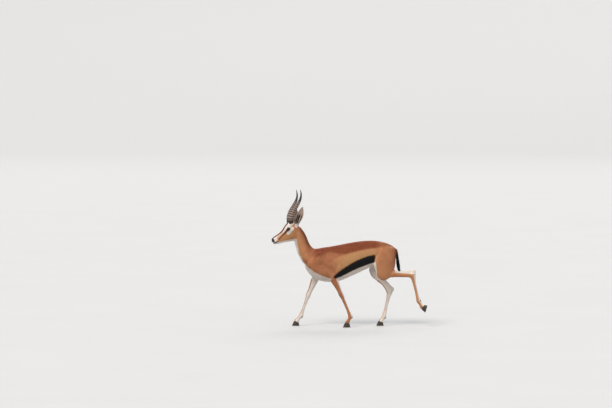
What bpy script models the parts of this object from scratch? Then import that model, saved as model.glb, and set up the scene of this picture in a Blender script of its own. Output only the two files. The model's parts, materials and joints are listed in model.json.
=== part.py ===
"""A life-size Thomson's gazelle ram in mid-stride, as a museum would show it.

The animal faces -X with its left side towards -Y, and its feet stand on Z = 0. Every body mass is a
loft of round sections along a named line of joints. The masses are merged into one smooth body, the
horns, ears and hooves are joined to it, and thin cuts then part the whole into its named pieces.
"""

import math

import bmesh
import bpy
from mathutils import Matrix, Vector

GAP = 0.0003  # clear space left by each cut
VOXEL = 0.004  # fineness at which the body masses are merged
CREASE_FILL = 0.007  # radius of the fillet where two masses meet
BODY_TRIANGLES = 4000  # the merged body keeps about this many
RING_POINTS = 20  # points round a body section
HORN_POINTS = 8
EAR_POINTS = 9
CLAW_POINTS = 10

# ---------------------------------------------------------------- trunk and neck
# x, top, bottom, height of the widest level, half width
TRUNK = [
    (-0.288, 0.462, 0.420, 0.440, 0.014),
    (-0.276, 0.492, 0.396, 0.440, 0.036),
    (-0.255, 0.520, 0.368, 0.442, 0.054),
    (-0.225, 0.540, 0.342, 0.446, 0.066),
    (-0.180, 0.553, 0.322, 0.448, 0.076),
    (-0.120, 0.562, 0.313, 0.446, 0.085),
    (-0.050, 0.574, 0.320, 0.452, 0.093),
    (0.020, 0.588, 0.347, 0.468, 0.096),
    (0.090, 0.599, 0.379, 0.488, 0.090),
    (0.150, 0.604, 0.408, 0.510, 0.081),
    (0.205, 0.6035, 0.436, 0.522, 0.077),
    (0.260, 0.594, 0.455, 0.528, 0.073),
    (0.298, 0.582, 0.462, 0.526, 0.062),
    (0.320, 0.570, 0.472, 0.524, 0.046),
    (0.334, 0.552, 0.492, 0.520, 0.018),
]
# x, z, half depth, half width, from the throat latch down into the chest
NECK = [
    (-0.354, 0.688, 0.036, 0.028),
    (-0.340, 0.658, 0.0430, 0.032),
    (-0.323, 0.625, 0.0460, 0.034),
    (-0.310, 0.588, 0.0480, 0.036),
    (-0.294, 0.547, 0.0525, 0.041),
    (-0.272, 0.512, 0.0600, 0.049),
    (-0.240, 0.486, 0.0720, 0.060),
    (-0.180, 0.462, 0.0840, 0.072),
]
NECK_BEND = -0.010  # how far the top of the neck leans to the animal's left

# ---------------------------------------------------------------- head, in its own frame
# The head's frame has its origin midway between the eyes, +X to the nose, +Y to its left, +Z up.
HEAD_ORIGIN = Vector((-0.415, -0.034, 0.687))
HEAD_YAW, HEAD_PITCH, HEAD_ROLL = 20.0, 22.0, 4.0  # degrees: to its left, nose down, left side up
HEAD = [
    (0.1320, -0.0240, -0.0430, -0.034, 0.0075),
    (0.1280, -0.0180, -0.0580, -0.036, 0.0130),
    (0.1180, -0.0135, -0.0665, -0.040, 0.0162),
    (0.1040, -0.0105, -0.0700, -0.041, 0.0172),
    (0.0860, -0.0075, -0.0730, -0.041, 0.0180),
    (0.0660, -0.0035, -0.0765, -0.040, 0.0205),
    (0.0460, 0.0025, -0.0805, -0.036, 0.0252),
    (0.0260, 0.0115, -0.0860, -0.028, 0.0310),
    (0.0080, 0.0220, -0.0915, -0.014, 0.0355),
    (-0.0120, 0.0345, -0.0965, -0.008, 0.0375),
    (-0.0340, 0.0435, -0.0990, -0.008, 0.0375),
    (-0.0540, 0.0440, -0.0920, -0.006, 0.0350),
    (-0.0720, 0.0360, -0.0720, -0.004, 0.0290),
    (-0.0860, 0.0190, -0.0420, -0.004, 0.0170),
]
ORBIT_AT, ORBIT_RADII = (0.001, 0.0290, 0.002), (0.025, 0.0125, 0.0215)
EYE_AT, EYE_RADIUS = (0.002, 0.0318, 0.000), 0.0158
# x, y, z, fore-and-aft radius, sideways radius
HORN = [
    (-0.0400, 0.0205, 0.020, 0.0180, 0.0150),
    (-0.0445, 0.0215, 0.040, 0.0178, 0.0148),
    (-0.0590, 0.0245, 0.070, 0.0166, 0.0140),
    (-0.0840, 0.0300, 0.098, 0.0150, 0.0130),
    (-0.1150, 0.0360, 0.120, 0.0128, 0.0115),
    (-0.1440, 0.0400, 0.141, 0.0105, 0.0096),
    (-0.1670, 0.0425, 0.164, 0.0080, 0.0074),
    (-0.1810, 0.0440, 0.190, 0.0054, 0.0052),
    (-0.1870, 0.0440, 0.214, 0.0026, 0.0026),
    (-0.1880, 0.0440, 0.220, 0.0010, 0.0010),
]
HORN_CUT = 0.13  # where along the horn it leaves the skull, as a share of its length
HORN_RINGS, RING_HEIGHT = 12, 0.0017
HORN_RINGED = 0.74  # the rest, up to the tip, is smooth
EAR_AT, EAR_TIP = Vector((-0.062, 0.030, -0.006)), Vector((-0.148, 0.072, 0.106))
EAR_FACES = Vector((0.28, 0.93, -0.10))  # the way its opening looks
# share of the length, half width, depth of the cup, wall
EAR = [
    (0.00, 0.0100, 0.0120, 0.0055),
    (0.12, 0.0125, 0.0130, 0.0045),
    (0.26, 0.0190, 0.0120, 0.0034),
    (0.42, 0.0240, 0.0105, 0.0030),
    (0.58, 0.0245, 0.0085, 0.0028),
    (0.74, 0.0195, 0.0062, 0.0025),
    (0.88, 0.0110, 0.0036, 0.0022),
    (1.00, 0.0018, 0.0008, 0.0015),
]

# ---------------------------------------------------------------- tail
# x, z, half depth, half width
TAIL = [
    (0.312, 0.560, 0.0130, 0.0140),
    (0.332, 0.552, 0.0125, 0.0140),
    (0.3450, 0.534, 0.0110, 0.0125),
    (0.3520, 0.508, 0.0100, 0.0115),
    (0.3575, 0.474, 0.0110, 0.0120),
    (0.3630, 0.440, 0.0120, 0.0125),
    (0.3680, 0.410, 0.0105, 0.0105),
    (0.3720, 0.386, 0.0035, 0.0040),
]

# ---------------------------------------------------------------- legs
# Joints as (x, z), and the leg's distance from the middle plane at its top and at the ground.
FORE_LEFT = {
    "withers": (-0.165, 0.520), "shoulder": (-0.235, 0.436), "elbow": (-0.104, 0.372),
    "carpus": (-0.034, 0.230), "fetlock": (0.030, 0.076), "coronet": (0.012, 0.0335),
}  # fmt: skip
FORE_RIGHT = {
    "withers": (-0.175, 0.520), "shoulder": (-0.252, 0.440), "elbow": (-0.202, 0.374),
    "carpus": (-0.263, 0.219), "fetlock": (-0.316, 0.072), "coronet": (-0.345, 0.0335),
}  # fmt: skip
HIND_LEFT = {
    "hip": (0.290, 0.530), "stifle": (0.238, 0.376), "hock": (0.463, 0.366),
    "fetlock": (0.506, 0.184), "coronet": (0.532, 0.145),
}  # fmt: skip
HIND_RIGHT = {
    "hip": (0.290, 0.530), "stifle": (0.200, 0.406), "hock": (0.306, 0.240),
    "fetlock": (0.268, 0.066), "coronet": (0.248, 0.0335),
}  # fmt: skip
FORE_TOP_Y, FORE_FOOT_Y = 0.062, 0.060
HIND_TOP_Y, HIND_FOOT_Y = 0.050, 0.062
# Each table: share along the bone, half depth, half width, how far the section sits behind the bone.
SCAPULA = [
    (-0.10, 0.012, 0.006, 0.012), (0.10, 0.036, 0.014, 0.012), (0.50, 0.050, 0.021, 0.014),
    (0.90, 0.042, 0.022, 0.010), (1.15, 0.020, 0.012, 0.008),
]  # fmt: skip
UPPER_ARM = [
    (-0.24, 0.014, 0.010, 0.0), (-0.05, 0.032, 0.021, 0.0), (0.40, 0.044, 0.026, -0.004),
    (0.90, 0.036, 0.024, 0.0), (1.15, 0.016, 0.012, 0.0),
]  # fmt: skip
FOREARM = [
    (-0.16, 0.020, 0.017, 0.010), (0.0, 0.031, 0.0225, 0.006), (0.16, 0.0305, 0.0225, 0.003),
    (0.36, 0.0262, 0.0185, 0.002), (0.58, 0.0212, 0.0152, 0.002), (0.80, 0.0168, 0.0136, 0.001),
    (0.95, 0.0172, 0.0154, 0.000), (1.06, 0.0160, 0.0148, 0.001),
]  # fmt: skip
FORE_CANNON = [
    (-0.07, 0.0160, 0.0148, 0.001), (0.04, 0.0172, 0.0155, 0.001), (0.16, 0.0136, 0.0125, 0.001),
    (0.40, 0.0116, 0.0098, 0.001), (0.70, 0.0112, 0.0096, 0.001), (0.90, 0.0135, 0.0122, 0.001),
    (1.02, 0.0155, 0.0142, 0.002), (1.08, 0.0100, 0.0090, 0.002),
]  # fmt: skip
PASTERN = [
    (-0.30, 0.0110, 0.0110, 0.002), (0.00, 0.0150, 0.0142, 0.001), (0.35, 0.0122, 0.0128, 0.000),
    (0.70, 0.0130, 0.0140, 0.000), (1.00, 0.0165, 0.0160, 0.000), (1.12, 0.0120, 0.0120, 0.000),
]  # fmt: skip
THIGH = [
    (-0.22, 0.046, 0.026, -0.012), (0.0, 0.066, 0.036, -0.008), (0.30, 0.0735, 0.043, 0.000),
    (0.60, 0.0735, 0.041, 0.010), (0.85, 0.0650, 0.036, 0.016), (1.05, 0.0490, 0.031, 0.012),
    (1.20, 0.0260, 0.020, 0.004),
]  # fmt: skip
SHANK = [
    (-0.12, 0.024, 0.020, -0.004), (0.0, 0.0360, 0.0290, -0.006), (0.20, 0.0370, 0.0270, -0.010),
    (0.42, 0.0270, 0.0200, -0.006), (0.64, 0.0195, 0.0150, 0.000), (0.85, 0.0175, 0.0135, 0.000),
    (1.00, 0.0200, 0.0160, 0.000), (1.08, 0.0140, 0.0120, 0.000),
]  # fmt: skip
HIND_CANNON = [
    (-0.10, 0.0150, 0.0130, 0.004), (0.00, 0.0215, 0.0165, 0.002), (0.10, 0.0185, 0.0150, 0.002),
    (0.22, 0.0140, 0.0122, 0.001), (0.45, 0.0122, 0.0100, 0.001), (0.72, 0.0118, 0.0098, 0.001),
    (0.92, 0.0140, 0.0124, 0.001), (1.02, 0.0160, 0.0145, 0.002), (1.08, 0.0100, 0.0090, 0.002),
]  # fmt: skip
HEEL_BACK, HEEL_UP = 0.021, 0.026  # where the point of the hock is, from the hock joint
TENDON_START, TENDON_RADIUS, HEEL_RADIUS = 0.34, 0.0075, 0.0105
TRICEPS_RADII, TRICEPS_UP = (0.054, 0.022, 0.072), 0.072
DEWCLAW = (0.0045, 0.0075, 0.012)  # half width, half depth, length

# ---------------------------------------------------------------- hooves
HOOF_HEIGHT, HOOF_LENGTH, CLAW_WIDTH, CLEFT = 0.0335, 0.052, 0.0170, 0.0022
HOOF_HEEL = -0.018  # the back of the sole, from the coronet's middle
CLAW_LEVELS = (0.0, 0.10, 0.55, 1.0)  # shares of the hoof's height
HOOF_PITCH_LIFTED = 74.0  # degrees that the lifted hoof hangs toe down

# ---------------------------------------------------------------- cuts of the body
# Where each starts, which way it runs, its half extents and its reach.
# Thigh: the corners of its cutter as (x, z), on the middle plane and out at THIGH_CUT_Y.
THIGH_CUT_INNER = [(0.185, 0.425), (0.380, 0.478), (0.380, 0.280), (0.130, 0.280)]
THIGH_CUT_OUTER = [(0.200, 0.505), (0.380, 0.600), (0.380, 0.280), (0.130, 0.280)]
THIGH_CUT_Y = 0.12
TAIL_CUT = (Vector((0.3420, 0, 0.4750)), Vector((1.0, 0, 0.06)), (0.110, 0.020), 0.08)
HEAD_CUT = (Vector((-0.3430, -0.010, 0.6480)), Vector((-0.75, -0.10, 0.66)), (0.20, 0.20), 0.40)
NECK_CUT = (Vector((-0.2620, 0, 0.5050)), Vector((-0.768, 0, 0.64)), (0.13, 0.13), 0.30)
SHANK_FROM = {-1: 0.45, 1: 0.25}  # where the shank is cut from the thigh, as a share of its length
MIDDLE = {False: "carpus", True: "hock"}  # the joint above the fetlock, by whether the leg is a hind one

COAT = ("coat", (0.52, 0.25, 0.12), 0.85)
TAIL_COAT = ("tail_coat", (0.03, 0.028, 0.026), 0.85)
KERATIN = ("keratin", (0.055, 0.045, 0.040), 0.45)
EYE = ("eye", (0.012, 0.008, 0.006), 0.08)


def clear_scene():
    for obj in list(bpy.data.objects):
        bpy.data.objects.remove(obj)


def material(name, colour, roughness):
    found = bpy.data.materials.get(name)
    if found:
        return found
    made = bpy.data.materials.new(name)
    made.use_nodes = True
    shader = made.node_tree.nodes["Principled BSDF"]
    shader.inputs["Base Color"].default_value = (*colour, 1.0)
    shader.inputs["Roughness"].default_value = roughness
    shader.inputs["Metallic"].default_value = 0.0
    return made


def new_object(name, mesh, collection):
    obj = bpy.data.objects.new(name, mesh)
    collection.objects.link(obj)
    return obj


def loft(name, rings, collection):
    """A closed mesh through rings of equally many points, with a strip of faces over each end."""
    bm = bmesh.new()
    rows = [[bm.verts.new(point) for point in ring] for ring in rings]
    count = len(rings[0])
    for lower, upper in zip(rows, rows[1:]):
        for i in range(count):
            j = (i + 1) % count
            bm.faces.new((lower[i], lower[j], upper[j], upper[i]))
    for row in (rows[0], rows[-1]):
        for i in range(count // 2 - 1):
            corners = (row[i], row[i + 1], row[count - 2 - i], row[count - 1 - i])
            bm.faces.new(corners)
    bmesh.ops.recalc_face_normals(bm, faces=bm.faces)
    bmesh.ops.triangulate(bm, faces=bm.faces)
    mesh = bpy.data.meshes.new(name)
    bm.to_mesh(mesh)
    bm.free()
    return new_object(name, mesh, collection)


def spline_rows(rows, steps):
    """Rows of numbers with smooth rows put in between, on a Catmull-Rom curve."""
    padded = [rows[0], *rows, rows[-1]]
    made = []
    for before, here, there, after in zip(padded, padded[1:], padded[2:], padded[3:]):
        for step in range(steps):
            t = step / steps
            made.append([
                0.5 * (2 * b + (c - a) * t + (2 * a - 5 * b + 4 * c - d) * t * t
                       + (3 * b - a - 3 * c + d) * t ** 3)
                for a, b, c, d in zip(before, here, there, after)
            ])  # fmt: skip
    return [*made, list(rows[-1])]


def standing_section(x, top, bottom, widest, half_width, count=RING_POINTS):
    """An upright section at x whose upper and lower halves have their own heights."""
    ring = []
    for i in range(count):
        angle = 2 * math.pi * i / count
        height = top - widest if math.sin(angle) > 0 else widest - bottom
        ring.append(Vector((x, half_width * math.cos(angle), widest + height * math.sin(angle))))
    return ring


def ellipse(centre, deep, wide, half_depth, half_width, count=RING_POINTS):
    """A flat round section: deep and wide are the unit directions of its two half axes."""
    turns = [2 * math.pi * i / count for i in range(count)]
    return [centre + deep * (half_depth * math.cos(a)) + wide * (half_width * math.sin(a)) for a in turns]


def tube(name, points, sizes, collection, sideways=Vector((0, 1, 0)), count=RING_POINTS):
    """A loft along points, with (half depth, half width) at each; depth lies across sideways."""
    rings = []
    for i, point in enumerate(points):
        along = (points[min(i + 1, len(points) - 1)] - points[max(i - 1, 0)]).normalized()
        wide = (sideways - along * sideways.dot(along)).normalized()
        rings.append(ellipse(point, wide.cross(along), wide, *sizes[i], count=count))
    return loft(name, rings, collection)


def ellipsoid(name, centre, radii, collection, turn=Matrix.Identity(4)):
    bm = bmesh.new()
    bmesh.ops.create_uvsphere(bm, u_segments=16, v_segments=10, radius=1.0)
    place = Matrix.Translation(centre) @ turn @ Matrix.Diagonal((*radii, 1.0))
    bmesh.ops.transform(bm, matrix=place, verts=bm.verts)
    mesh = bpy.data.meshes.new(name)
    bm.to_mesh(mesh)
    bm.free()
    return new_object(name, mesh, collection)


def head_matrix():
    """From the head's own frame to the animal's: its forward is -X, turned, dipped and rolled."""
    facing = Matrix.Rotation(math.pi, 4, "Z")
    yaw = Matrix.Rotation(math.radians(HEAD_YAW), 4, "Z")
    pitch = Matrix.Rotation(math.radians(HEAD_PITCH), 4, "Y")
    roll = Matrix.Rotation(math.radians(HEAD_ROLL), 4, "X")
    return Matrix.Translation(HEAD_ORIGIN) @ yaw @ facing @ pitch @ roll


def bone_mass(name, start, end, table, collection):
    """A loft along the bone from start to end, from a table of sections."""
    along = (end - start).normalized()
    sideways = Vector((0, 1, 0))
    behind = along.cross(sideways)
    if behind.x < 0 or (abs(behind.x) < 0.2 and behind.z > 0):
        behind = -behind
    rows = spline_rows(table, 2)
    points = [start.lerp(end, share) + behind * back for share, _, _, back in rows]
    return tube(name, points, [(deep, wide) for _, deep, wide, _ in rows], collection)


def joints_of(table, side, top_y, foot_y):
    """The joints in space: the leg leans evenly from its top to its foot."""
    high = max(z for _, z in table.values())
    places = {}
    for joint, (x, z) in table.items():
        share = 1 - z / high
        places[joint] = Vector((x, side * (top_y + (foot_y - top_y) * share), z))
    return places


def foreleg_masses(tag, j, side, masses):
    bone_mass(f"scapula_{tag}", j["withers"], j["shoulder"], SCAPULA, masses)
    bone_mass(f"upper_arm_{tag}", j["shoulder"], j["elbow"], UPPER_ARM, masses)
    triceps = j["elbow"] + Vector((-0.018, side * -0.004, TRICEPS_UP))
    ellipsoid(f"triceps_{tag}", triceps, TRICEPS_RADII, masses)
    bone_mass(f"forearm_{tag}", j["elbow"], j["carpus"], FOREARM, masses)
    bone_mass(f"cannon_{tag}", j["carpus"], j["fetlock"], FORE_CANNON, masses)
    bone_mass(f"pastern_{tag}", j["fetlock"], j["coronet"], PASTERN, masses)


def heel_of(j):
    """The point of the hock, behind and above the hock joint along the cannon."""
    up = (j["hock"] - j["fetlock"]).normalized()
    back = up.cross(Vector((0, 1, 0)))
    return j["hock"] + up * HEEL_UP + (back if back.x > 0 else -back) * HEEL_BACK


def hindleg_masses(tag, j, masses):
    bone_mass(f"thigh_{tag}", j["hip"], j["stifle"], THIGH, masses)
    bone_mass(f"shank_{tag}", j["stifle"], j["hock"], SHANK, masses)
    heel = heel_of(j)
    calf = j["stifle"].lerp(heel, TENDON_START)
    points = [calf.lerp(heel, i / 6) for i in range(7)]
    sizes = [(TENDON_RADIUS * 1.5, TENDON_RADIUS)] + [(TENDON_RADIUS, TENDON_RADIUS * 0.8)] * 5
    tube(f"tendon_{tag}", points, [*sizes, (HEEL_RADIUS, HEEL_RADIUS * 0.8)], masses)
    below = j["hock"].lerp(j["fetlock"], 0.10)
    heel_sizes = [(0.006, 0.006), (HEEL_RADIUS, HEEL_RADIUS * 0.9), (0.013, 0.0115), (0.015, 0.013)]
    lifted = heel + (heel - below).normalized() * 0.004
    tube(f"heel_{tag}", [lifted, heel, heel.lerp(below, 0.5), below], heel_sizes, masses)
    bone_mass(f"cannon_{tag}", j["hock"], j["fetlock"], HIND_CANNON, masses)
    bone_mass(f"pastern_{tag}", j["fetlock"], j["coronet"], PASTERN, masses)


def dewclaws(tag, j, masses):
    """The two small claws behind the fetlock."""
    along = (j["coronet"] - j["fetlock"]).normalized()
    back = along.cross(Vector((0, 1, 0)))
    back = back if back.x > 0 else -back
    half_width, half_depth, length = DEWCLAW
    for side in (-1, 1):
        top = j["fetlock"] + back * 0.0130 + Vector((0, side * 0.0075, 0)) + along * 0.002
        tip = top + (along * 0.9 + back * 0.35).normalized() * length
        points = [top - along * 0.004, top.lerp(tip, 0.45), tip]
        sizes = [(half_depth, half_width), (half_depth * 0.8, half_width * 0.9), (0.0022, 0.002)]
        tube(f"dewclaw_{tag}_{side}", points, sizes, masses)


def body_masses(masses):
    loft("trunk_mass", [standing_section(*row) for row in spline_rows(TRUNK, 2)], masses)
    rows = spline_rows(NECK, 2)
    lean = [NECK_BEND * max(0.0, (z - NECK[-1][1]) / (NECK[0][1] - NECK[-1][1])) for _, z, _, _ in rows]
    points = [Vector((x, y, z)) for (x, z, _, _), y in zip(rows, lean)]
    tube("neck_mass", points, [(deep, wide) for _, _, deep, wide in rows], masses)
    rows = spline_rows(TAIL, 2)
    tail = [Vector((x, 0, z)) for x, z, _, _ in rows]
    tube("tail_mass", tail, [(deep, wide) for _, _, deep, wide in rows], masses)
    to_body = head_matrix()
    head = [[to_body @ p for p in standing_section(*row)] for row in spline_rows(HEAD, 2)]
    loft("head_mass", head, masses)
    for side in (-1, 1):
        x, y, z = ORBIT_AT
        turn = to_body.to_3x3().to_4x4()
        ellipsoid(f"orbit_{side}", to_body @ Vector((x, side * y, z)), ORBIT_RADII, masses, turn)


def merged_body(masses, collection):
    """All the masses as one smooth closed mesh. Swelling and shrinking it fills the creases."""
    bm = bmesh.new()
    for obj in list(masses.objects):
        bm.from_mesh(obj.data)
        bpy.data.objects.remove(obj)
    mesh = bpy.data.meshes.new("body")
    bm.to_mesh(mesh)
    bm.free()
    body = new_object("body", mesh, collection)
    for reach in (CREASE_FILL, -CREASE_FILL):
        remesh = body.modifiers.new("merge", "REMESH")
        remesh.mode, remesh.voxel_size = "VOXEL", VOXEL
        swell = body.modifiers.new("swell", "DISPLACE")
        swell.strength, swell.mid_level = reach, 0.0
    remesh = body.modifiers.new("even", "REMESH")
    remesh.mode, remesh.voxel_size = "VOXEL", VOXEL
    smooth = body.modifiers.new("smooth", "SMOOTH")
    smooth.factor, smooth.iterations = 0.5, 4
    bake(body)
    decimate = body.modifiers.new("lighter", "DECIMATE")
    decimate.ratio = BODY_TRIANGLES / (2 * len(body.data.polygons))
    bake(body)
    return body


def bake(obj):
    """Replaces the object's mesh with what its modifiers make of it."""
    graph = bpy.context.evaluated_depsgraph_get()
    made = bpy.data.meshes.new_from_object(obj.evaluated_get(graph))
    obj.modifiers.clear()
    obj.data = made


def boolean(obj, other, operation):
    modifier = obj.modifiers.new(operation, "BOOLEAN")
    modifier.operation, modifier.object, modifier.solver = operation, other, "EXACT"
    bake(obj)


def horn(name, side, collection):
    """The horn with its rings: ridges round the lower part, closer together towards the tip."""
    to_body = head_matrix()
    fine = spline_rows([(x, side * y, z, deep, wide) for x, y, z, deep, wide in HORN], 12)
    centres = [Vector(row[:3]) for row in fine]
    run = [0.0]
    for a, b in zip(centres, centres[1:]):
        run.append(run[-1] + (b - a).length)
    shares = [HORN_CUT * 0.5]
    ringed = HORN_RINGED - HORN_CUT
    for ring in range(HORN_RINGS):
        start = HORN_CUT + ringed * (ring / HORN_RINGS) ** 0.92
        end = HORN_CUT + ringed * ((ring + 1) / HORN_RINGS) ** 0.92
        shares += [start + (end - start) * 0.12, start + (end - start) * 0.55]
    shares += [HORN_RINGED + (1 - HORN_RINGED) * i / 5 for i in range(6)]
    points, sizes = [], []
    for number, share in enumerate(shares):
        row = fine[min(range(len(run)), key=lambda i: abs(run[i] - share * run[-1]))]
        ridge = RING_HEIGHT if 0 < number <= 2 * HORN_RINGS and number % 2 == 0 else 0.0
        points.append(to_body @ Vector(row[:3]))
        sizes.append((row[3] + ridge, row[4] + ridge))
    sideways = to_body.to_3x3() @ Vector((0, 1, 0))
    return tube(name, points, sizes, collection, sideways, HORN_POINTS)


def ear_place(side):
    """The ear's foot, tip and opening direction in the animal's frame."""
    to_body = head_matrix()
    flip = Vector((1, side, 1))
    return to_body @ (EAR_AT * flip), to_body @ (EAR_TIP * flip), to_body.to_3x3() @ (EAR_FACES * flip)


def ear(name, side, collection):
    """A cupped leaf: each ring is a crescent, its outer arc the back of the ear."""
    foot, tip, faces = ear_place(side)
    along = (tip - foot).normalized()
    faces = (faces - along * faces.dot(along)).normalized()
    wide = along.cross(faces)
    rings = []
    for share, half_width, cup, wall in EAR:
        centre = foot.lerp(tip, share)
        arc = [math.radians(-90 + 180 * i / (EAR_POINTS - 1)) for i in range(EAR_POINTS)]
        back = [centre + wide * (half_width * math.sin(a)) - faces * (cup * math.cos(a)) for a in arc]
        inner_cup, inner = max(cup - wall, cup * 0.3), half_width - wall * 0.6
        front = [centre + wide * (inner * math.sin(a)) - faces * (inner_cup * math.cos(a) - wall * 0.35)
                 for a in reversed(arc)]  # fmt: skip
        rings.append(back + front)
    return loft(name, rings, collection)


def claw_ring(share, side):
    """The outline of one claw at a height: share 0 is the sole and 1 the coronet."""
    length = HOOF_LENGTH * (1 - 0.36 * share)
    heel = HOOF_HEEL + 0.004 * share
    ring = []
    for i in range(CLAW_POINTS):
        angle = 2 * math.pi * i / CLAW_POINTS
        along = 0.5 - 0.5 * math.cos(angle)
        bulge = math.sin(math.pi * along ** 1.3) ** 0.6 if 0 < along < 1 else 0.0
        outer = math.sin(angle) > 0
        across = 0.5 + (0.5 if outer else -0.42) * bulge - 0.28 * along * outer
        top = -GAP if share == 1.0 else -HOOF_HEIGHT * (1 - share)
        ring.append(Vector((heel + length * along, side * (CLEFT / 2 + CLAW_WIDTH * across), top)))
    return ring


def foot_matrix(j, pitch):
    """The hoof's frame: origin at the coronet, +X to the toe. Pitch turns the toe down."""
    facing = Matrix.Rotation(math.pi, 4, "Z")
    return Matrix.Translation(j["coronet"]) @ facing @ Matrix.Rotation(math.radians(pitch), 4, "Y")


def claw(name, j, side, pitch, collection):
    place = foot_matrix(j, pitch)
    rings = [[place @ point for point in claw_ring(share, side)] for share in CLAW_LEVELS]
    return loft(name, rings, collection)


def cutting_box(start, outward, size, reach, collection, level=Vector((0, 1, 0))):
    """A box running outward from a plane. Size gives its half extents across and along level."""
    along = outward.normalized()
    wide = (level - along * level.dot(along)).normalized()
    turn = Matrix((wide.cross(along), wide, along)).transposed().to_4x4()
    bm = bmesh.new()
    bmesh.ops.create_cube(bm, size=2.0)
    place = Matrix.Translation(start + along * (reach / 2)) @ turn
    place = place @ Matrix.Diagonal((*size, reach / 2, 1.0))
    bmesh.ops.transform(bm, matrix=place, verts=bm.verts)
    mesh = bpy.data.meshes.new("cutter")
    bm.to_mesh(mesh)
    bm.free()
    return new_object("cutter", mesh, collection)


def drop_slivers(obj):
    """Keeps the largest body of the mesh and drops the slivers that a cut can leave beside it."""
    bm = bmesh.new()
    bm.from_mesh(obj.data)
    left, bodies = set(bm.verts), []
    while left:
        body, edge = set(), [left.pop()]
        while edge:
            vert = edge.pop()
            body.add(vert)
            near = {e.other_vert(vert) for e in vert.link_edges} & left
            left -= near
            edge.extend(near)
        bodies.append(body)
    largest = max(bodies, key=len)
    slivers = [vert for body in bodies if body is not largest for vert in body]
    bmesh.ops.delete(bm, geom=slivers, context="VERTS")
    bm.to_mesh(obj.data)
    bm.free()


def part_by(whole, name, cutter, work):
    """Parts what lies in the cutter from the whole, and leaves a gap all round between the two."""
    piece = new_object(name, whole.data.copy(), work)
    boolean(piece, cutter, "INTERSECT")
    wider = swollen_copy(cutter, 2 * GAP, work)
    boolean(whole, wider, "DIFFERENCE")
    for used in (cutter, wider):
        bpy.data.objects.remove(used)
    drop_slivers(piece)
    drop_slivers(whole)
    return piece


def keep_piece(obj, name, look, parts):
    """Puts a finished piece among the parts under its name, with its material."""
    obj.name = name
    for collection in list(obj.users_collection):
        collection.objects.unlink(obj)
    parts.objects.link(obj)
    obj.data.materials.clear()
    obj.data.materials.append(material(*look))
    obj.data.shade_smooth()
    obj.data.set_sharp_from_angle(angle=math.radians(40))


def swollen_copy(obj, reach, collection):
    """The object's shape with its surface moved outward by reach."""
    copy = new_object("swollen", obj.data.copy(), collection)
    swell = copy.modifiers.new("swell", "DISPLACE")
    swell.strength, swell.mid_level = reach, 0.0
    bake(copy)
    return copy


def settle_origin(parts):
    """Moves all pieces so that the middle of the box's underside is the origin."""
    corners = [obj.matrix_world @ v.co for obj in parts.objects for v in obj.data.vertices]
    low = [min(c[i] for c in corners) for i in range(3)]
    high = [max(c[i] for c in corners) for i in range(3)]
    shift = Vector((-(low[0] + high[0]) / 2, -(low[1] + high[1]) / 2, -low[2]))
    for obj in parts.objects:
        obj.data.transform(Matrix.Translation(shift))


def leg_cuts(j, side, hind):
    """The cuts of one leg from the ground up: name, then start, outward, half extents and reach."""
    upper = (j["fetlock"] - j[MIDDLE[hind]]).normalized()
    down = upper + (j["coronet"] - j["fetlock"]).normalized()
    pastern = (j["fetlock"] + down.normalized() * 0.006, down, (0.035, 0.030), 0.09)
    if not hind:
        cannon = (j["carpus"] + upper * 0.004, upper, (0.04, 0.030), 0.22)
        elbow = j["elbow"].lerp(j["carpus"], 0.12)
        elbow.x = (j["elbow"].x + j["carpus"].x) / 2
        forearm = (elbow, Vector((0.10, side * 0.42, -0.90)), (0.075, 0.045), 0.24)
        return [("pastern", pastern), ("cannon", cannon), ("forearm", forearm)]
    shank_down = (j["hock"] - j["stifle"]).normalized()
    bend = (upper + shank_down).normalized()
    cannon = (j["hock"] - bend * 0.004, bend, (0.14, 0.032), 0.24)
    knee = j["stifle"].lerp(j["hock"], SHANK_FROM[side])
    return [("pastern", pastern), ("cannon", cannon), ("shank", (knee, shank_down, (0.055, 0.034), 0.30))]


def thigh_cutter(side, work):
    """A block whose upper face slopes from the groin up to the outside of the hip."""
    inner = [Vector((x, side * GAP / 2, z)) for x, z in THIGH_CUT_INNER]
    outer = [Vector((x, side * THIGH_CUT_Y, z)) for x, z in THIGH_CUT_OUTER]
    return loft("cutter", [inner, outer], work)


def part_leg(limb, whole, j, side, hind, pitch, work, parts):
    """Parts a leg from the ground up, and sets the claws under it."""
    down = foot_matrix(j, pitch).to_3x3() @ Vector((0, 0, -1))
    below = cutting_box(j["coronet"], down, (0.06, 0.045), 0.08, work)
    boolean(whole, below, "DIFFERENCE")
    bpy.data.objects.remove(below)
    for claw_side, where in ((-1, "left"), (1, "right")):
        hoof = claw("claw", j, -claw_side, pitch, work)
        keep_piece(hoof, f"hoof_{limb}_{where}_claw", KERATIN, parts)
    for name, cut in leg_cuts(j, side, hind):
        piece = part_by(whole, name, cutting_box(*cut, work), work)
        keep_piece(piece, f"{name}_{limb}", COAT, parts)
    if hind:
        keep_piece(part_by(whole, "thigh", thigh_cutter(side, work), work), f"thigh_{limb}", COAT, parts)


def dress_head(head, work, parts):
    """Sets horns and ears on the head and the eyes into it."""
    to_body = head_matrix()
    for which, side in (("left", 1), ("right", -1)):
        clear = swollen_copy(head, GAP, work)
        for made, look in ((horn(f"horn_{which}", side, work), KERATIN), (ear(f"ear_{which}", side, work), COAT)):
            boolean(made, clear, "DIFFERENCE")
            keep_piece(made, made.name, look, parts)
        bpy.data.objects.remove(clear)
        x, y, z = EYE_AT
        centre = to_body @ Vector((x, side * y, z))
        socket = ellipsoid("socket", centre, (EYE_RADIUS + GAP,) * 3, work)
        boolean(head, socket, "DIFFERENCE")
        bpy.data.objects.remove(socket)
        eye = ellipsoid("eye", centre, (EYE_RADIUS,) * 3, work)
        keep_piece(eye, f"eye_{which}", EYE, parts)


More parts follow.
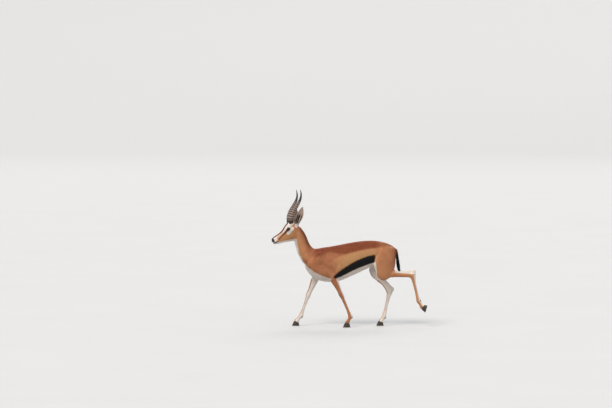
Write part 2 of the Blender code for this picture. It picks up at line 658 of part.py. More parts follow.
def main():
    clear_scene()
    parts = bpy.data.collections.new("gazelle")
    work = bpy.data.collections.new("work")
    for collection in (parts, work):
        bpy.context.scene.collection.children.link(collection)

    body_masses(work)
    legs = []
    for which, side in (("left", -1), ("right", 1)):
        fore = joints_of(FORE_LEFT if side < 0 else FORE_RIGHT, side, FORE_TOP_Y, FORE_FOOT_Y)
        hind = joints_of(HIND_LEFT if side < 0 else HIND_RIGHT, side, HIND_TOP_Y, HIND_FOOT_Y)
        foreleg_masses(f"fore_{which}", fore, side, work)
        hindleg_masses(f"hind_{which}", hind, work)
        dewclaws(f"fore_{which}", fore, work)
        dewclaws(f"hind_{which}", hind, work)
        legs.append((f"fore_{which}", fore, side, False, 0.0))
        legs.append((f"hind_{which}", hind, side, True, HOOF_PITCH_LIFTED if side < 0 else 0.0))
    whole = merged_body(work, work)

    keep_piece(part_by(whole, "tail", cutting_box(*TAIL_CUT, work), work), "tail", TAIL_COAT, parts)
    for limb, joints, side, is_hind, pitch in legs:
        part_leg(limb, whole, joints, side, is_hind, pitch, work, parts)
    head = part_by(whole, "head", cutting_box(*HEAD_CUT, work), work)
    keep_piece(part_by(whole, "neck", cutting_box(*NECK_CUT, work), work), "neck", COAT, parts)
    keep_piece(whole, "trunk", COAT, parts)
    dress_head(head, work, parts)
    keep_piece(head, "head", COAT, parts)
    bpy.data.collections.remove(work)
    settle_origin(parts)


main()
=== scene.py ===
"""The looks of the gazelle ram: one skin, its coat, and the eyes, horns and hooves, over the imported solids.

Everything is made in the animal's own frame, where it faces -X, its left is -Y and its feet stand on
Z = 0. SHIFT then carries it to the frame of the solids. The skin is the same set of masses as the
solids, merged more finely, drawn in by the depth of the coat and given its folds. The coat is short
tufts that grow from it along the lie of the hair.
"""

import json
import math

import bmesh
import bpy
import numpy as np
from mathutils import Matrix, Vector

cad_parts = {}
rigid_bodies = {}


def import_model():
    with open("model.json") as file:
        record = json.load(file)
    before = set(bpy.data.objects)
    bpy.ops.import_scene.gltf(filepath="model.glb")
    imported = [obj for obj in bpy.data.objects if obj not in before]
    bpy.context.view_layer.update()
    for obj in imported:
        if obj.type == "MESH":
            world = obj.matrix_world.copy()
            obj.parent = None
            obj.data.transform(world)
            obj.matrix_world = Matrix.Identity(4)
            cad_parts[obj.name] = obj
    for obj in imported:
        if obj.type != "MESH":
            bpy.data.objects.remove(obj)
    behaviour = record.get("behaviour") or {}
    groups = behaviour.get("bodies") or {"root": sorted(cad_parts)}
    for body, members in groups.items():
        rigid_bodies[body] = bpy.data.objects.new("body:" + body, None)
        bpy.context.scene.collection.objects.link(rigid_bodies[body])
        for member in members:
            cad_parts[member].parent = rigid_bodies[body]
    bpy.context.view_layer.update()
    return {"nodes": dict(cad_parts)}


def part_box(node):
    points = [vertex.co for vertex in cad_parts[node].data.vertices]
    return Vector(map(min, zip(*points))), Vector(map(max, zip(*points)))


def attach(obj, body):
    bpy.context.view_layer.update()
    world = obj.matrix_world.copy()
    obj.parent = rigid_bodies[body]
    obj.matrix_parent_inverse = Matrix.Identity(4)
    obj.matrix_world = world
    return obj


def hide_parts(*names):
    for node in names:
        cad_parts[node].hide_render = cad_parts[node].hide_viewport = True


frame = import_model()
rng = np.random.default_rng(7)

# ---------------------------------------------------------------- how finely things are made
MERGE_VOXEL = 0.0034  # where the masses are merged and filleted
SKIN_VOXEL = 0.0016  # where the ears are merged with them into the skin
CREASE_FILL = 0.007  # radius of the fillet where two masses meet
MERGE_SMOOTHING, SOFT_SMOOTHING, SKIN_SMOOTHING = 6, 45, 4  # passes
SKIN_TRIANGLES = 190_000
MASS_STEPS, EAR_STEPS, HORN_FINE = 4, 5, 40  # rows made from each row of a table
RING_POINTS = 32  # round each mass
EAR_POINTS = 21  # across each face of an ear

# The sign of Y for each side in the animal's frame. In the head's own frame it is the other way round.
SIDES = {"left": -1, "right": 1}
SIDEWAYS = Vector((0, 1, 0))
FACING = Matrix.Rotation(math.pi, 4, "Z")  # turns what looks along +X to the animal's front

# ---------------------------------------------------------------- trunk, neck, head and tail
# x, top, bottom, height of the widest level, half width
TRUNK = [
    (-0.288, 0.462, 0.420, 0.440, 0.014),
    (-0.276, 0.492, 0.396, 0.440, 0.036),
    (-0.255, 0.520, 0.368, 0.442, 0.054),
    (-0.225, 0.540, 0.342, 0.446, 0.066),
    (-0.180, 0.553, 0.322, 0.448, 0.076),
    (-0.120, 0.562, 0.313, 0.446, 0.085),
    (-0.050, 0.574, 0.320, 0.452, 0.093),
    (0.020, 0.588, 0.347, 0.468, 0.096),
    (0.090, 0.599, 0.379, 0.488, 0.090),
    (0.150, 0.604, 0.408, 0.510, 0.081),
    (0.205, 0.6035, 0.436, 0.522, 0.077),
    (0.260, 0.594, 0.455, 0.528, 0.073),
    (0.298, 0.582, 0.462, 0.526, 0.062),
    (0.320, 0.570, 0.472, 0.524, 0.046),
    (0.334, 0.552, 0.492, 0.520, 0.018),
]
# x, z, half depth, half width
NECK = [
    (-0.354, 0.688, 0.036, 0.028),
    (-0.340, 0.658, 0.0430, 0.032),
    (-0.323, 0.625, 0.0460, 0.034),
    (-0.310, 0.588, 0.0480, 0.036),
    (-0.294, 0.547, 0.0525, 0.041),
    (-0.272, 0.512, 0.0600, 0.049),
    (-0.240, 0.486, 0.0720, 0.060),
    (-0.180, 0.462, 0.0840, 0.072),
]
NECK_BEND = -0.010  # how far the top of the neck leans to the animal's left
# The head's frame has its origin midway between the eyes, +X to the nose, +Y to its left, +Z up.
HEAD_ORIGIN = Vector((-0.415, -0.034, 0.687))
HEAD_YAW, HEAD_PITCH, HEAD_ROLL = 20.0, 22.0, 4.0  # degrees
# In the head's frame: x, top, bottom, height of the widest level, half width
HEAD = [
    (0.1320, -0.0240, -0.0430, -0.034, 0.0075),
    (0.1280, -0.0180, -0.0580, -0.036, 0.0130),
    (0.1180, -0.0135, -0.0665, -0.040, 0.0162),
    (0.1040, -0.0105, -0.0700, -0.041, 0.0172),
    (0.0860, -0.0075, -0.0730, -0.041, 0.0180),
    (0.0660, -0.0035, -0.0765, -0.040, 0.0205),
    (0.0460, 0.0025, -0.0805, -0.036, 0.0252),
    (0.0260, 0.0115, -0.0860, -0.028, 0.0310),
    (0.0080, 0.0220, -0.0915, -0.014, 0.0355),
    (-0.0120, 0.0345, -0.0965, -0.008, 0.0375),
    (-0.0340, 0.0435, -0.0990, -0.008, 0.0375),
    (-0.0540, 0.0440, -0.0920, -0.006, 0.0350),
    (-0.0720, 0.0360, -0.0720, -0.004, 0.0290),
    (-0.0860, 0.0190, -0.0420, -0.004, 0.0170),
]
ORBIT_AT, ORBIT_RADII = Vector((0.001, 0.0290, 0.002)), (0.025, 0.0125, 0.0215)
EYE_AT, EYE_RADIUS = Vector((0.002, 0.0318, 0.000)), 0.0158
EYE_GAZE = Vector((0.22, 0.97, 0.08))  # the way the left eye looks, in the head's frame
MUZZLE_AT = Vector((0.118, 0.0, -0.044))
# x, y, z, fore-and-aft radius, sideways radius
HORN = [
    (-0.0400, 0.0205, 0.020, 0.0180, 0.0150),
    (-0.0445, 0.0215, 0.040, 0.0178, 0.0148),
    (-0.0590, 0.0245, 0.070, 0.0166, 0.0140),
    (-0.0840, 0.0300, 0.098, 0.0150, 0.0130),
    (-0.1150, 0.0360, 0.120, 0.0128, 0.0115),
    (-0.1440, 0.0400, 0.141, 0.0105, 0.0096),
    (-0.1670, 0.0425, 0.164, 0.0080, 0.0074),
    (-0.1810, 0.0440, 0.190, 0.0054, 0.0052),
    (-0.1870, 0.0440, 0.214, 0.0026, 0.0026),
    (-0.1880, 0.0440, 0.220, 0.0010, 0.0010),
]
HORN_BARE, HORN_RINGED = 0.085, 0.74  # shares of its length where the rings start and end
HORN_RINGS, RING_HEIGHT = 11, 0.0021
EAR_AT, EAR_TIP = Vector((-0.062, 0.030, -0.006)), Vector((-0.148, 0.072, 0.106))
EAR_FACES = Vector((0.28, 0.93, -0.10))  # the way its opening looks
# share of the length, half width, depth of the cup, thickness of the wall
EAR = [
    (0.00, 0.0100, 0.0120, 0.0055),
    (0.12, 0.0125, 0.0130, 0.0045),
    (0.26, 0.0190, 0.0120, 0.0036),
    (0.42, 0.0240, 0.0105, 0.0034),
    (0.58, 0.0245, 0.0085, 0.0032),
    (0.74, 0.0195, 0.0062, 0.0030),
    (0.88, 0.0110, 0.0036, 0.0028),
    (1.00, 0.0022, 0.0010, 0.0024),
]
# x, z, half depth, half width
TAIL = [
    (0.312, 0.560, 0.0130, 0.0140),
    (0.332, 0.552, 0.0125, 0.0140),
    (0.3450, 0.534, 0.0110, 0.0125),
    (0.3520, 0.508, 0.0100, 0.0115),
    (0.3575, 0.474, 0.0110, 0.0120),
    (0.3630, 0.440, 0.0120, 0.0125),
    (0.3680, 0.410, 0.0105, 0.0105),
    (0.3720, 0.386, 0.0035, 0.0040),
]

# ---------------------------------------------------------------- legs
# x and z of each joint
FORE_LEFT = {
    "withers": (-0.165, 0.520), "shoulder": (-0.235, 0.436), "elbow": (-0.104, 0.372),
    "carpus": (-0.034, 0.230), "fetlock": (0.030, 0.076), "coronet": (0.012, 0.0335),
}  # fmt: skip
FORE_RIGHT = {
    "withers": (-0.175, 0.520), "shoulder": (-0.252, 0.440), "elbow": (-0.202, 0.374),
    "carpus": (-0.263, 0.219), "fetlock": (-0.316, 0.072), "coronet": (-0.345, 0.0335),
}  # fmt: skip
HIND_LEFT = {
    "hip": (0.290, 0.530), "stifle": (0.238, 0.376), "hock": (0.463, 0.366),
    "fetlock": (0.506, 0.184), "coronet": (0.532, 0.145),
}  # fmt: skip
HIND_RIGHT = {
    "hip": (0.290, 0.530), "stifle": (0.200, 0.406), "hock": (0.306, 0.240),
    "fetlock": (0.268, 0.066), "coronet": (0.248, 0.0335),
}  # fmt: skip
FORE_TOP_Y, FORE_FOOT_Y = 0.062, 0.060  # how far the leg is from the middle, at its top and its foot
HIND_TOP_Y, HIND_FOOT_Y = 0.050, 0.062
# Each table: share along the bone, half depth, half width, how far the section sits behind the bone.
SCAPULA = [
    (-0.10, 0.012, 0.006, 0.012), (0.10, 0.036, 0.014, 0.012), (0.50, 0.050, 0.021, 0.014),
    (0.90, 0.042, 0.022, 0.010), (1.15, 0.020, 0.012, 0.008),
]  # fmt: skip
UPPER_ARM = [
    (-0.24, 0.014, 0.010, 0.0), (-0.05, 0.032, 0.021, 0.0), (0.40, 0.044, 0.026, -0.004),
    (0.90, 0.036, 0.024, 0.0), (1.15, 0.016, 0.012, 0.0),
]  # fmt: skip
FOREARM = [
    (-0.16, 0.020, 0.017, 0.010), (0.0, 0.031, 0.0225, 0.006), (0.16, 0.0305, 0.0225, 0.003),
    (0.36, 0.0262, 0.0185, 0.002), (0.58, 0.0212, 0.0152, 0.002), (0.80, 0.0168, 0.0136, 0.001),
    (0.95, 0.0172, 0.0154, 0.000), (1.06, 0.0160, 0.0148, 0.001),
]  # fmt: skip
FORE_CANNON = [
    (-0.07, 0.0160, 0.0148, 0.001), (0.04, 0.0172, 0.0155, 0.001), (0.16, 0.0136, 0.0125, 0.001),
    (0.40, 0.0116, 0.0098, 0.001), (0.70, 0.0112, 0.0096, 0.001), (0.90, 0.0135, 0.0122, 0.001),
    (1.02, 0.0155, 0.0142, 0.002), (1.08, 0.0100, 0.0090, 0.002),
]  # fmt: skip
PASTERN = [
    (-0.30, 0.0110, 0.0110, 0.002), (0.00, 0.0150, 0.0142, 0.001), (0.35, 0.0122, 0.0128, 0.000),
    (0.70, 0.0130, 0.0140, 0.000), (1.00, 0.0165, 0.0160, 0.000), (1.12, 0.0120, 0.0120, 0.000),
]  # fmt: skip
THIGH = [
    (-0.22, 0.046, 0.026, -0.012), (0.0, 0.066, 0.036, -0.008), (0.30, 0.0735, 0.043, 0.000),
    (0.60, 0.0735, 0.041, 0.010), (0.85, 0.0650, 0.036, 0.016), (1.05, 0.0490, 0.031, 0.012),
    (1.20, 0.0260, 0.020, 0.004),
]  # fmt: skip
SHANK = [
    (-0.12, 0.024, 0.020, -0.004), (0.0, 0.0360, 0.0290, -0.006), (0.20, 0.0370, 0.0270, -0.010),
    (0.42, 0.0270, 0.0200, -0.006), (0.64, 0.0195, 0.0150, 0.000), (0.85, 0.0175, 0.0135, 0.000),
    (1.00, 0.0200, 0.0160, 0.000), (1.08, 0.0140, 0.0120, 0.000),
]  # fmt: skip
HIND_CANNON = [
    (-0.10, 0.0150, 0.0130, 0.004), (0.00, 0.0215, 0.0165, 0.002), (0.10, 0.0185, 0.0150, 0.002),
    (0.22, 0.0140, 0.0122, 0.001), (0.45, 0.0122, 0.0100, 0.001), (0.72, 0.0118, 0.0098, 0.001),
    (0.92, 0.0140, 0.0124, 0.001), (1.02, 0.0160, 0.0145, 0.002), (1.08, 0.0100, 0.0090, 0.002),
]  # fmt: skip
HEEL_BACK, HEEL_UP = 0.021, 0.026  # from the hock joint to the point of the hock
TENDON_START = 0.34  # share of the way from the stifle to the point of the hock
TENDON_RADIUS, HEEL_RADIUS, TENDON_STEPS = 0.0075, 0.0105, 6
TRICEPS_AT, TRICEPS_RADII = Vector((-0.018, -0.004, 0.072)), (0.054, 0.022, 0.072)  # from the elbow
DEWCLAW_WIDE, DEWCLAW_DEEP, DEWCLAW_LONG = 0.0045, 0.0075, 0.012  # half width, half depth and length
DEWCLAW_BACK, DEWCLAW_ASIDE, DEWCLAW_DOWN = 0.0130, 0.0075, 0.002  # from the fetlock joint
HOOF_HEIGHT, HOOF_LENGTH, CLAW_WIDTH, CLEFT = 0.0335, 0.052, 0.0170, 0.0022
HOOF_TAPER = 0.36  # share of its length that a claw loses up to the coronet
CORONET_GAP = 0.0003  # between the top of the hoof and the skin
HOOF_HEEL = -0.018  # where the heel begins at the sole, along the hoof from under the coronet joint
HEEL_DROP = 0.0085  # how much lower the coronet lies at the heel
HOOF_PITCH_LIFTED = 74.0  # how steeply the left hind hoof points down, in degrees
CLAW_POINTS = 40


# ---------------------------------------------------------------- making meshes
def new_object(name, mesh, collection=None):
    obj = bpy.data.objects.new(name, mesh)
    (collection or bpy.context.scene.collection).objects.link(obj)
    return obj


def mesh_of(bm, name):
    """A mesh of what was built, which is then freed."""
    mesh = bpy.data.meshes.new(name)
    bm.to_mesh(mesh)
    bm.free()
    return mesh


def round_turn(count):
    """Angles spread evenly over a full turn."""
    return [2 * math.pi * i / count for i in range(count)]


def mirrored(place, side):
    """The place as it is for side 1, and its mirror image for side -1."""
    return place * Vector((1, side, 1))


def loft(name, rings, collection=None):
    """A closed mesh through rings of equally many points, with a strip of faces over each end."""
    bm = bmesh.new()
    rows = [[bm.verts.new(point) for point in ring] for ring in rings]
    count = len(rings[0])
    for lower, upper in zip(rows, rows[1:]):
        for i in range(count):
            j = (i + 1) % count
            bm.faces.new((lower[i], lower[j], upper[j], upper[i]))
    for row in (rows[0], rows[-1]):
        for i in range(count // 2 - 1):
            bm.faces.new((row[i], row[i + 1], row[count - 2 - i], row[count - 1 - i]))
    bmesh.ops.recalc_face_normals(bm, faces=bm.faces)
    return new_object(name, mesh_of(bm, name), collection)


def spline_rows(rows, steps):
    """Rows of numbers with smooth rows put in between, on a Catmull-Rom curve."""
    padded = [rows[0], *rows, rows[-1]]
    made = []
    for before, here, there, after in zip(padded, padded[1:], padded[2:], padded[3:]):
        for step in range(steps):
            t = step / steps
            made.append([
                0.5 * (2 * b + (c - a) * t + (2 * a - 5 * b + 4 * c - d) * t * t
                       + (3 * b - a - 3 * c + d) * t ** 3)
                for a, b, c, d in zip(before, here, there, after)
            ])  # fmt: skip
    return [*made, list(rows[-1])]


def standing_section(x, top, bottom, widest, half_width):
    """An upright section at x whose upper and lower halves have their own heights."""
    ring = []
    for angle in round_turn(RING_POINTS):
        height = top - widest if math.sin(angle) > 0 else widest - bottom
        ring.append(Vector((x, half_width * math.cos(angle), widest + height * math.sin(angle))))
    return ring


def tube(name, points, sizes, collection):
    """A loft along points, with (half depth, half width) at each, its width across the body."""
    rings = []
    for i, point in enumerate(points):
        along = (points[min(i + 1, len(points) - 1)] - points[max(i - 1, 0)]).normalized()
        wide = (SIDEWAYS - along * SIDEWAYS.dot(along)).normalized()
        deep = wide.cross(along)
        half_depth, half_width = sizes[i]
        rings.append([point + deep * (half_depth * math.cos(a)) + wide * (half_width * math.sin(a))
                      for a in round_turn(RING_POINTS)])  # fmt: skip
    return loft(name, rings, collection)


def ellipsoid(name, centre, radii, collection, turn=Matrix.Identity(4)):
    bm = bmesh.new()
    bmesh.ops.create_uvsphere(bm, u_segments=RING_POINTS, v_segments=RING_POINTS // 2, radius=1.0)
    place = Matrix.Translation(centre) @ turn @ Matrix.Diagonal((*radii, 1.0))
    bmesh.ops.transform(bm, matrix=place, verts=bm.verts)
    return new_object(name, mesh_of(bm, name), collection)


def head_matrix():
    """From the head's own frame to the animal's: its forward is -X, turned, dipped and rolled."""
    yaw = Matrix.Rotation(math.radians(HEAD_YAW), 4, "Z")
    pitch = Matrix.Rotation(math.radians(HEAD_PITCH), 4, "Y")
    roll = Matrix.Rotation(math.radians(HEAD_ROLL), 4, "X")
    return Matrix.Translation(HEAD_ORIGIN) @ yaw @ FACING @ pitch @ roll


TO_BODY = head_matrix()
EYE_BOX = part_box("eye_left")
SHIFT = (Vector(EYE_BOX[0]) + Vector(EYE_BOX[1])) / 2 - TO_BODY @ EYE_AT


def bone_mass(name, start, end, table, collection):
    """A loft along the bone from start to end, from a table of sections."""
    along = (end - start).normalized()
    back = along.cross(SIDEWAYS)
    if back.x < 0 or (abs(back.x) < 0.2 and back.z > 0):  # the back of a nearly level bone is below it
        back = -back
    rows = spline_rows(table, MASS_STEPS)
    points = [start.lerp(end, share) + back * set_back for share, _, _, set_back in rows]
    return tube(name, points, [(deep, wide) for _, deep, wide, _ in rows], collection)


def joints_of(table, side, top_y, foot_y):
    """The joints in space: the leg leans evenly from its top to its foot."""
    high = max(z for _, z in table.values())
    places = {}
    for joint, (x, z) in table.items():
        share = 1 - z / high
        places[joint] = Vector((x, side * (top_y + (foot_y - top_y) * share), z))
    return places


FORE = {-1: joints_of(FORE_LEFT, -1, FORE_TOP_Y, FORE_FOOT_Y),
        1: joints_of(FORE_RIGHT, 1, FORE_TOP_Y, FORE_FOOT_Y)}  # fmt: skip
HIND = {-1: joints_of(HIND_LEFT, -1, HIND_TOP_Y, HIND_FOOT_Y),
        1: joints_of(HIND_RIGHT, 1, HIND_TOP_Y, HIND_FOOT_Y)}  # fmt: skip
LEGS = {"fore": FORE, "hind": HIND}


def behind(along):
    """The way towards the tail that is square to a leg's bone."""
    back = along.cross(SIDEWAYS)
    return back if back.x > 0 else -back


def heel_of(j):
    """The point of the hock, behind and above the hock joint along the cannon."""
    up = (j["hock"] - j["fetlock"]).normalized()
    return j["hock"] + up * HEEL_UP + behind(up) * HEEL_BACK


def foreleg_masses(j, side, masses):
    """Shoulder blade, upper arm, triceps, forearm, cannon and pastern."""
    bone_mass("scapula", j["withers"], j["shoulder"], SCAPULA, masses)
    bone_mass("upper_arm", j["shoulder"], j["elbow"], UPPER_ARM, masses)
    ellipsoid("triceps", j["elbow"] + mirrored(TRICEPS_AT, side), TRICEPS_RADII, masses)
    bone_mass("forearm", j["elbow"], j["carpus"], FOREARM, masses)
    bone_mass("cannon", j["carpus"], j["fetlock"], FORE_CANNON, masses)
    bone_mass("pastern", j["fetlock"], j["coronet"], PASTERN, masses)


def hindleg_masses(j, masses):
    """Thigh, shank, the tendon behind it, heel, cannon and pastern."""
    bone_mass("thigh", j["hip"], j["stifle"], THIGH, masses)
    bone_mass("shank", j["stifle"], j["hock"], SHANK, masses)
    heel = heel_of(j)
    calf = j["stifle"].lerp(heel, TENDON_START)
    thin = [(TENDON_RADIUS, TENDON_RADIUS * 0.8)] * (TENDON_STEPS - 1)
    sizes = [(TENDON_RADIUS * 1.5, TENDON_RADIUS), *thin]
    points = [calf.lerp(heel, i / TENDON_STEPS) for i in range(TENDON_STEPS + 1)]
    tube("tendon", points, [*sizes, (HEEL_RADIUS, HEEL_RADIUS * 0.8)], masses)
    below = j["hock"].lerp(j["fetlock"], 0.10)
    heel_sizes = [(0.006, 0.006), (HEEL_RADIUS, HEEL_RADIUS * 0.9), (0.013, 0.0115), (0.015, 0.013)]
    lifted = heel + (heel - below).normalized() * 0.004
    tube("heel", [lifted, heel, heel.lerp(below, 0.5), below], heel_sizes, masses)
    bone_mass("cannon", j["hock"], j["fetlock"], HIND_CANNON, masses)
    bone_mass("pastern", j["fetlock"], j["coronet"], PASTERN, masses)


def dewclaw_axis(j, side):
    """The top and the tip of a dewclaw, and the ways down the pastern and behind it."""
    down = (j["coronet"] - j["fetlock"]).normalized()
    back = behind(down)
    aside = Vector((0, side * DEWCLAW_ASIDE, 0))
    top = j["fetlock"] + back * DEWCLAW_BACK + aside + down * DEWCLAW_DOWN
    tip = top + (down * 0.9 + back * 0.35).normalized() * DEWCLAW_LONG
    return top, tip, down, back


def dewclaws(j, masses):
    deep, wide = DEWCLAW_DEEP, DEWCLAW_WIDE
    sizes = [(deep, wide), (deep * 0.8, wide * 0.9), (0.0022, 0.002)]
    for side in (-1, 1):
        top, tip, down, _ = dewclaw_axis(j, side)
        tube("dewclaw", [top - down * 0.004, top.lerp(tip, 0.45), tip], sizes, masses)


def strand(name, table, bend, masses):
    """A tube through rows of x, z, half depth and half width, its top bent sideways."""
    rows = spline_rows(table, MASS_STEPS)
    high, low = table[0][1], table[-1][1]
    points = [Vector((x, bend * max(0.0, (z - low) / (high - low)), z)) for x, z, _, _ in rows]
    tube(name, points, [(deep, wide) for _, _, deep, wide in rows], masses)


def body_masses(masses):
    loft("trunk", [standing_section(*row) for row in spline_rows(TRUNK, MASS_STEPS)], masses)
    strand("neck", NECK, NECK_BEND, masses)
    strand("tail", TAIL, 0.0, masses)
    head = [[TO_BODY @ p for p in standing_section(*row)] for row in spline_rows(HEAD, MASS_STEPS)]
    loft("head", head, masses)
    turn = TO_BODY.to_3x3().to_4x4()
    for side in (-1, 1):
        ellipsoid("orbit", TO_BODY @ mirrored(ORBIT_AT, side), ORBIT_RADII, masses, turn)
    for side in (-1, 1):
        foreleg_masses(FORE[side], side, masses)
        hindleg_masses(HIND[side], masses)
        dewclaws(FORE[side], masses)
        dewclaws(HIND[side], masses)


def ear(side, collection):
    """A cupped leaf: each ring is a crescent, its outer arc the back of the ear."""
    foot, tip = TO_BODY @ mirrored(EAR_AT, side), TO_BODY @ mirrored(EAR_TIP, side)
    along = (tip - foot).normalized()
    faces = TO_BODY.to_3x3() @ mirrored(EAR_FACES, side)
    faces = (faces - along * faces.dot(along)).normalized()
    wide = along.cross(faces)
    arc = [math.radians(-90 + 180 * i / (EAR_POINTS - 1)) for i in range(EAR_POINTS)]
    rings = []
    for share, half_width, cup, wall in spline_rows(EAR, EAR_STEPS):
        centre = foot.lerp(tip, share)
        back = [centre + wide * (half_width * math.sin(a)) - faces * (cup * math.cos(a)) for a in arc]
        inner_cup, inner = max(cup - wall, cup * 0.3), half_width - wall * 0.6
        front = [centre + wide * (inner * math.sin(a)) - faces * (inner_cup * math.cos(a) - wall * 0.35)
                 for a in reversed(arc)]  # fmt: skip
        rings.append(back + front)
    return loft("ear", rings, collection)


def bake(obj):
    """Replaces the object's mesh with what its modifiers make of it."""
    graph = bpy.context.evaluated_depsgraph_get()
    made = bpy.data.meshes.new_from_object(obj.evaluated_get(graph))
    obj.modifiers.clear()
    obj.data = made


def joined(collection, name):
    """All of a collection's meshes as one object, and the collection emptied."""
    bm = bmesh.new()
    for obj in list(collection.objects):
        bm.from_mesh(obj.data)
        bpy.data.objects.remove(obj)
    return new_object(name, mesh_of(bm, name), collection)


def weigh(obj, name, shares, levels):
    """A vertex group that holds each point's share, rounded to so many levels."""
    group = obj.vertex_groups.new(name=name)
    for level in range(1, levels + 1):
        chosen = np.nonzero(np.round(shares * levels) == level)[0]
        group.add(chosen.tolist(), level / levels, "REPLACE")


def add_remesh(obj, voxel):
    remesh = obj.modifiers.new("merge", "REMESH")
    remesh.mode, remesh.voxel_size = "VOXEL", voxel


def add_smooth(obj, iterations):
    smooth = obj.modifiers.new("smooth", "SMOOTH")
    smooth.factor, smooth.iterations = 0.5, iterations
    return smooth


# Lines over which the muscles lie so flat that the masses' joins must not show: x and z of their ends.
SOFT_LINES = [((-0.262, 0.450), (-0.150, 0.575)), ((-0.150, 0.575), (-0.105, 0.550)),
              ((0.190, 0.575), (0.325, 0.562))]  # fmt: skip
SOFT_WIDTH = 0.034


def soften(obj):
    """Smooths the skin more strongly along the soft lines."""
    points, _ = point_arrays(obj.data)
    flat = points[:, [0, 2]]
    share = np.zeros(len(points))
    for start, end in SOFT_LINES:
        share = np.maximum(share, hump(from_line(flat, np.array(start), np.array(end))[1], SOFT_WIDTH))
    weigh(obj, "soft", share, 8)
    add_smooth(obj, SOFT_SMOOTHING).vertex_group = "soft"
    bake(obj)
    obj.vertex_groups.clear()


def merged_skin():
    """The masses and ears as one fine closed mesh, before it is drawn in and given its folds."""
    masses = bpy.data.collections.new("masses")
    bpy.context.scene.collection.children.link(masses)
    body_masses(masses)
    body = joined(masses, "body")
    for reach in (CREASE_FILL, -CREASE_FILL):
        add_remesh(body, MERGE_VOXEL)
        swell = body.modifiers.new("swell", "DISPLACE")
        swell.strength, swell.mid_level = reach, 0.0
    add_remesh(body, MERGE_VOXEL)
    add_smooth(body, MERGE_SMOOTHING)
    bake(body)
    soften(body)
    for side in (-1, 1):
        ear(side, masses)
    body = joined(masses, "skin")
    add_remesh(body, SKIN_VOXEL)
    add_smooth(body, SKIN_SMOOTHING)
    bake(body)
    bpy.context.scene.collection.objects.link(body)
    bpy.data.collections.remove(masses)
    return body


# ---------------------------------------------------------------- numbers over many points at once
HEAD_TO_BODY = np.array(TO_BODY)
HEAD_AXES, HEAD_AT = HEAD_TO_BODY[:3, :3], HEAD_TO_BODY[:3, 3]


def rise(value, low, high):
    """0 up to low, 1 from high on, and a smooth step between them."""
    t = np.clip((value - low) / (high - low), 0.0, 1.0)
    return t * t * (3 - 2 * t)


def hump(distance, width):
    """1 at distance 0, fading away over about width."""
    return np.exp(-((distance / width) ** 2))


def mix(a, b, share):
    return a + (b - a) * share


def unit(vectors):
    return vectors / np.maximum(np.linalg.norm(vectors, axis=-1, keepdims=True), 1e-12)


def in_head(points):
    """The points in the head's own frame: a forward, b to its left, c up."""
    return (points - HEAD_AT) @ HEAD_AXES


def folded(points):
    """The points with both halves of the animal laid onto the one where Y is positive."""
    return np.stack([points[:, 0], np.abs(points[:, 1]), points[:, 2]], axis=1)


def unfolded(vectors, points):
    """Vectors found for folded points, mirrored where the point itself lies on the other half."""
    return np.where((points[:, 1:2] < 0) & [False, True, False], -vectors, vectors)


def from_line(points, start, end):
    """How far along the line each point lies, as a share of it, and its distance from the line."""
    start, end = np.array(start, float), np.array(end, float)
    run = end - start
    share = (points - start) @ run / (run @ run)
    nearest = start + np.clip(share, 0, 1)[:, None] * run
    return share, np.linalg.norm(points - nearest, axis=1)


def head_point(a, b, c):
    return np.array(TO_BODY @ Vector((a, b, c)))


# ---------------------------------------------------------------- the body as lines
def line_table():
    """The lines that the hair follows, and that the parts are told apart by: name to (start, end)."""
    lines = {
        "nose": (head_point(0.125, 0, -0.022), head_point(-0.070, 0, 0.030)),
        "jaw": (head_point(0.120, 0, -0.060), head_point(-0.070, 0, -0.075)),
        "skull": (head_point(0.030, 0, -0.014), head_point(-0.040, 0, -0.020)),
        "neck": ((-0.340, -0.007, 0.655), (-0.262, 0, 0.500)),
        "chest": ((-0.262, 0, 0.500), (-0.235, 0, 0.380)),
        "back": ((-0.235, 0, 0.520), (0.305, 0, 0.540)),
        "belly": ((-0.235, 0, 0.375), (0.270, 0, 0.480)),
        "tail": ((0.334, 0, 0.552), (0.372, 0, 0.386)),
    }
    for which, side in SIDES.items():
        lines[f"ear_{which}"] = (TO_BODY @ mirrored(EAR_AT, -side), TO_BODY @ mirrored(EAR_TIP, -side))
        fore, hind = FORE[side], HIND[side]
        lines[f"shoulder_{which}"] = (fore["withers"], fore["elbow"])
        lines[f"forearm_{which}"] = (fore["elbow"], fore["carpus"])
        lines[f"fore_cannon_{which}"] = (fore["carpus"], fore["fetlock"])
        lines[f"fore_pastern_{which}"] = (fore["fetlock"], fore["coronet"])
        lines[f"thigh_{which}"] = (hind["hip"], hind["stifle"].lerp(heel_of(hind), 0.25))
        lines[f"shank_{which}"] = (hind["stifle"].lerp(hind["hock"], 0.15), hind["hock"])
        lines[f"hind_cannon_{which}"] = (hind["hock"], hind["fetlock"])
        lines[f"hind_pastern_{which}"] = (hind["fetlock"], hind["coronet"])
    return {name: (np.array(a, float), np.array(b, float)) for name, (a, b) in lines.items()}


LINES = line_table()
PARTS = {
    "head": ["nose", "jaw", "skull"],
    "ear_left": ["ear_left"], "ear_right": ["ear_right"],
    "neck": ["neck", "chest"],
    "trunk": ["back", "belly", "shoulder_left", "shoulder_right", "thigh_left", "thigh_right"],
    "foreleg_left": ["forearm_left", "fore_cannon_left", "fore_pastern_left"],
    "foreleg_right": ["forearm_right", "fore_cannon_right", "fore_pastern_right"],
    "hindleg_left": ["shank_left", "hind_cannon_left", "hind_pastern_left"],
    "hindleg_right": ["shank_right", "hind_cannon_right", "hind_pastern_right"],
    "tail": ["tail"],
}  # fmt: skip
PART_NAMES = list(PARTS)
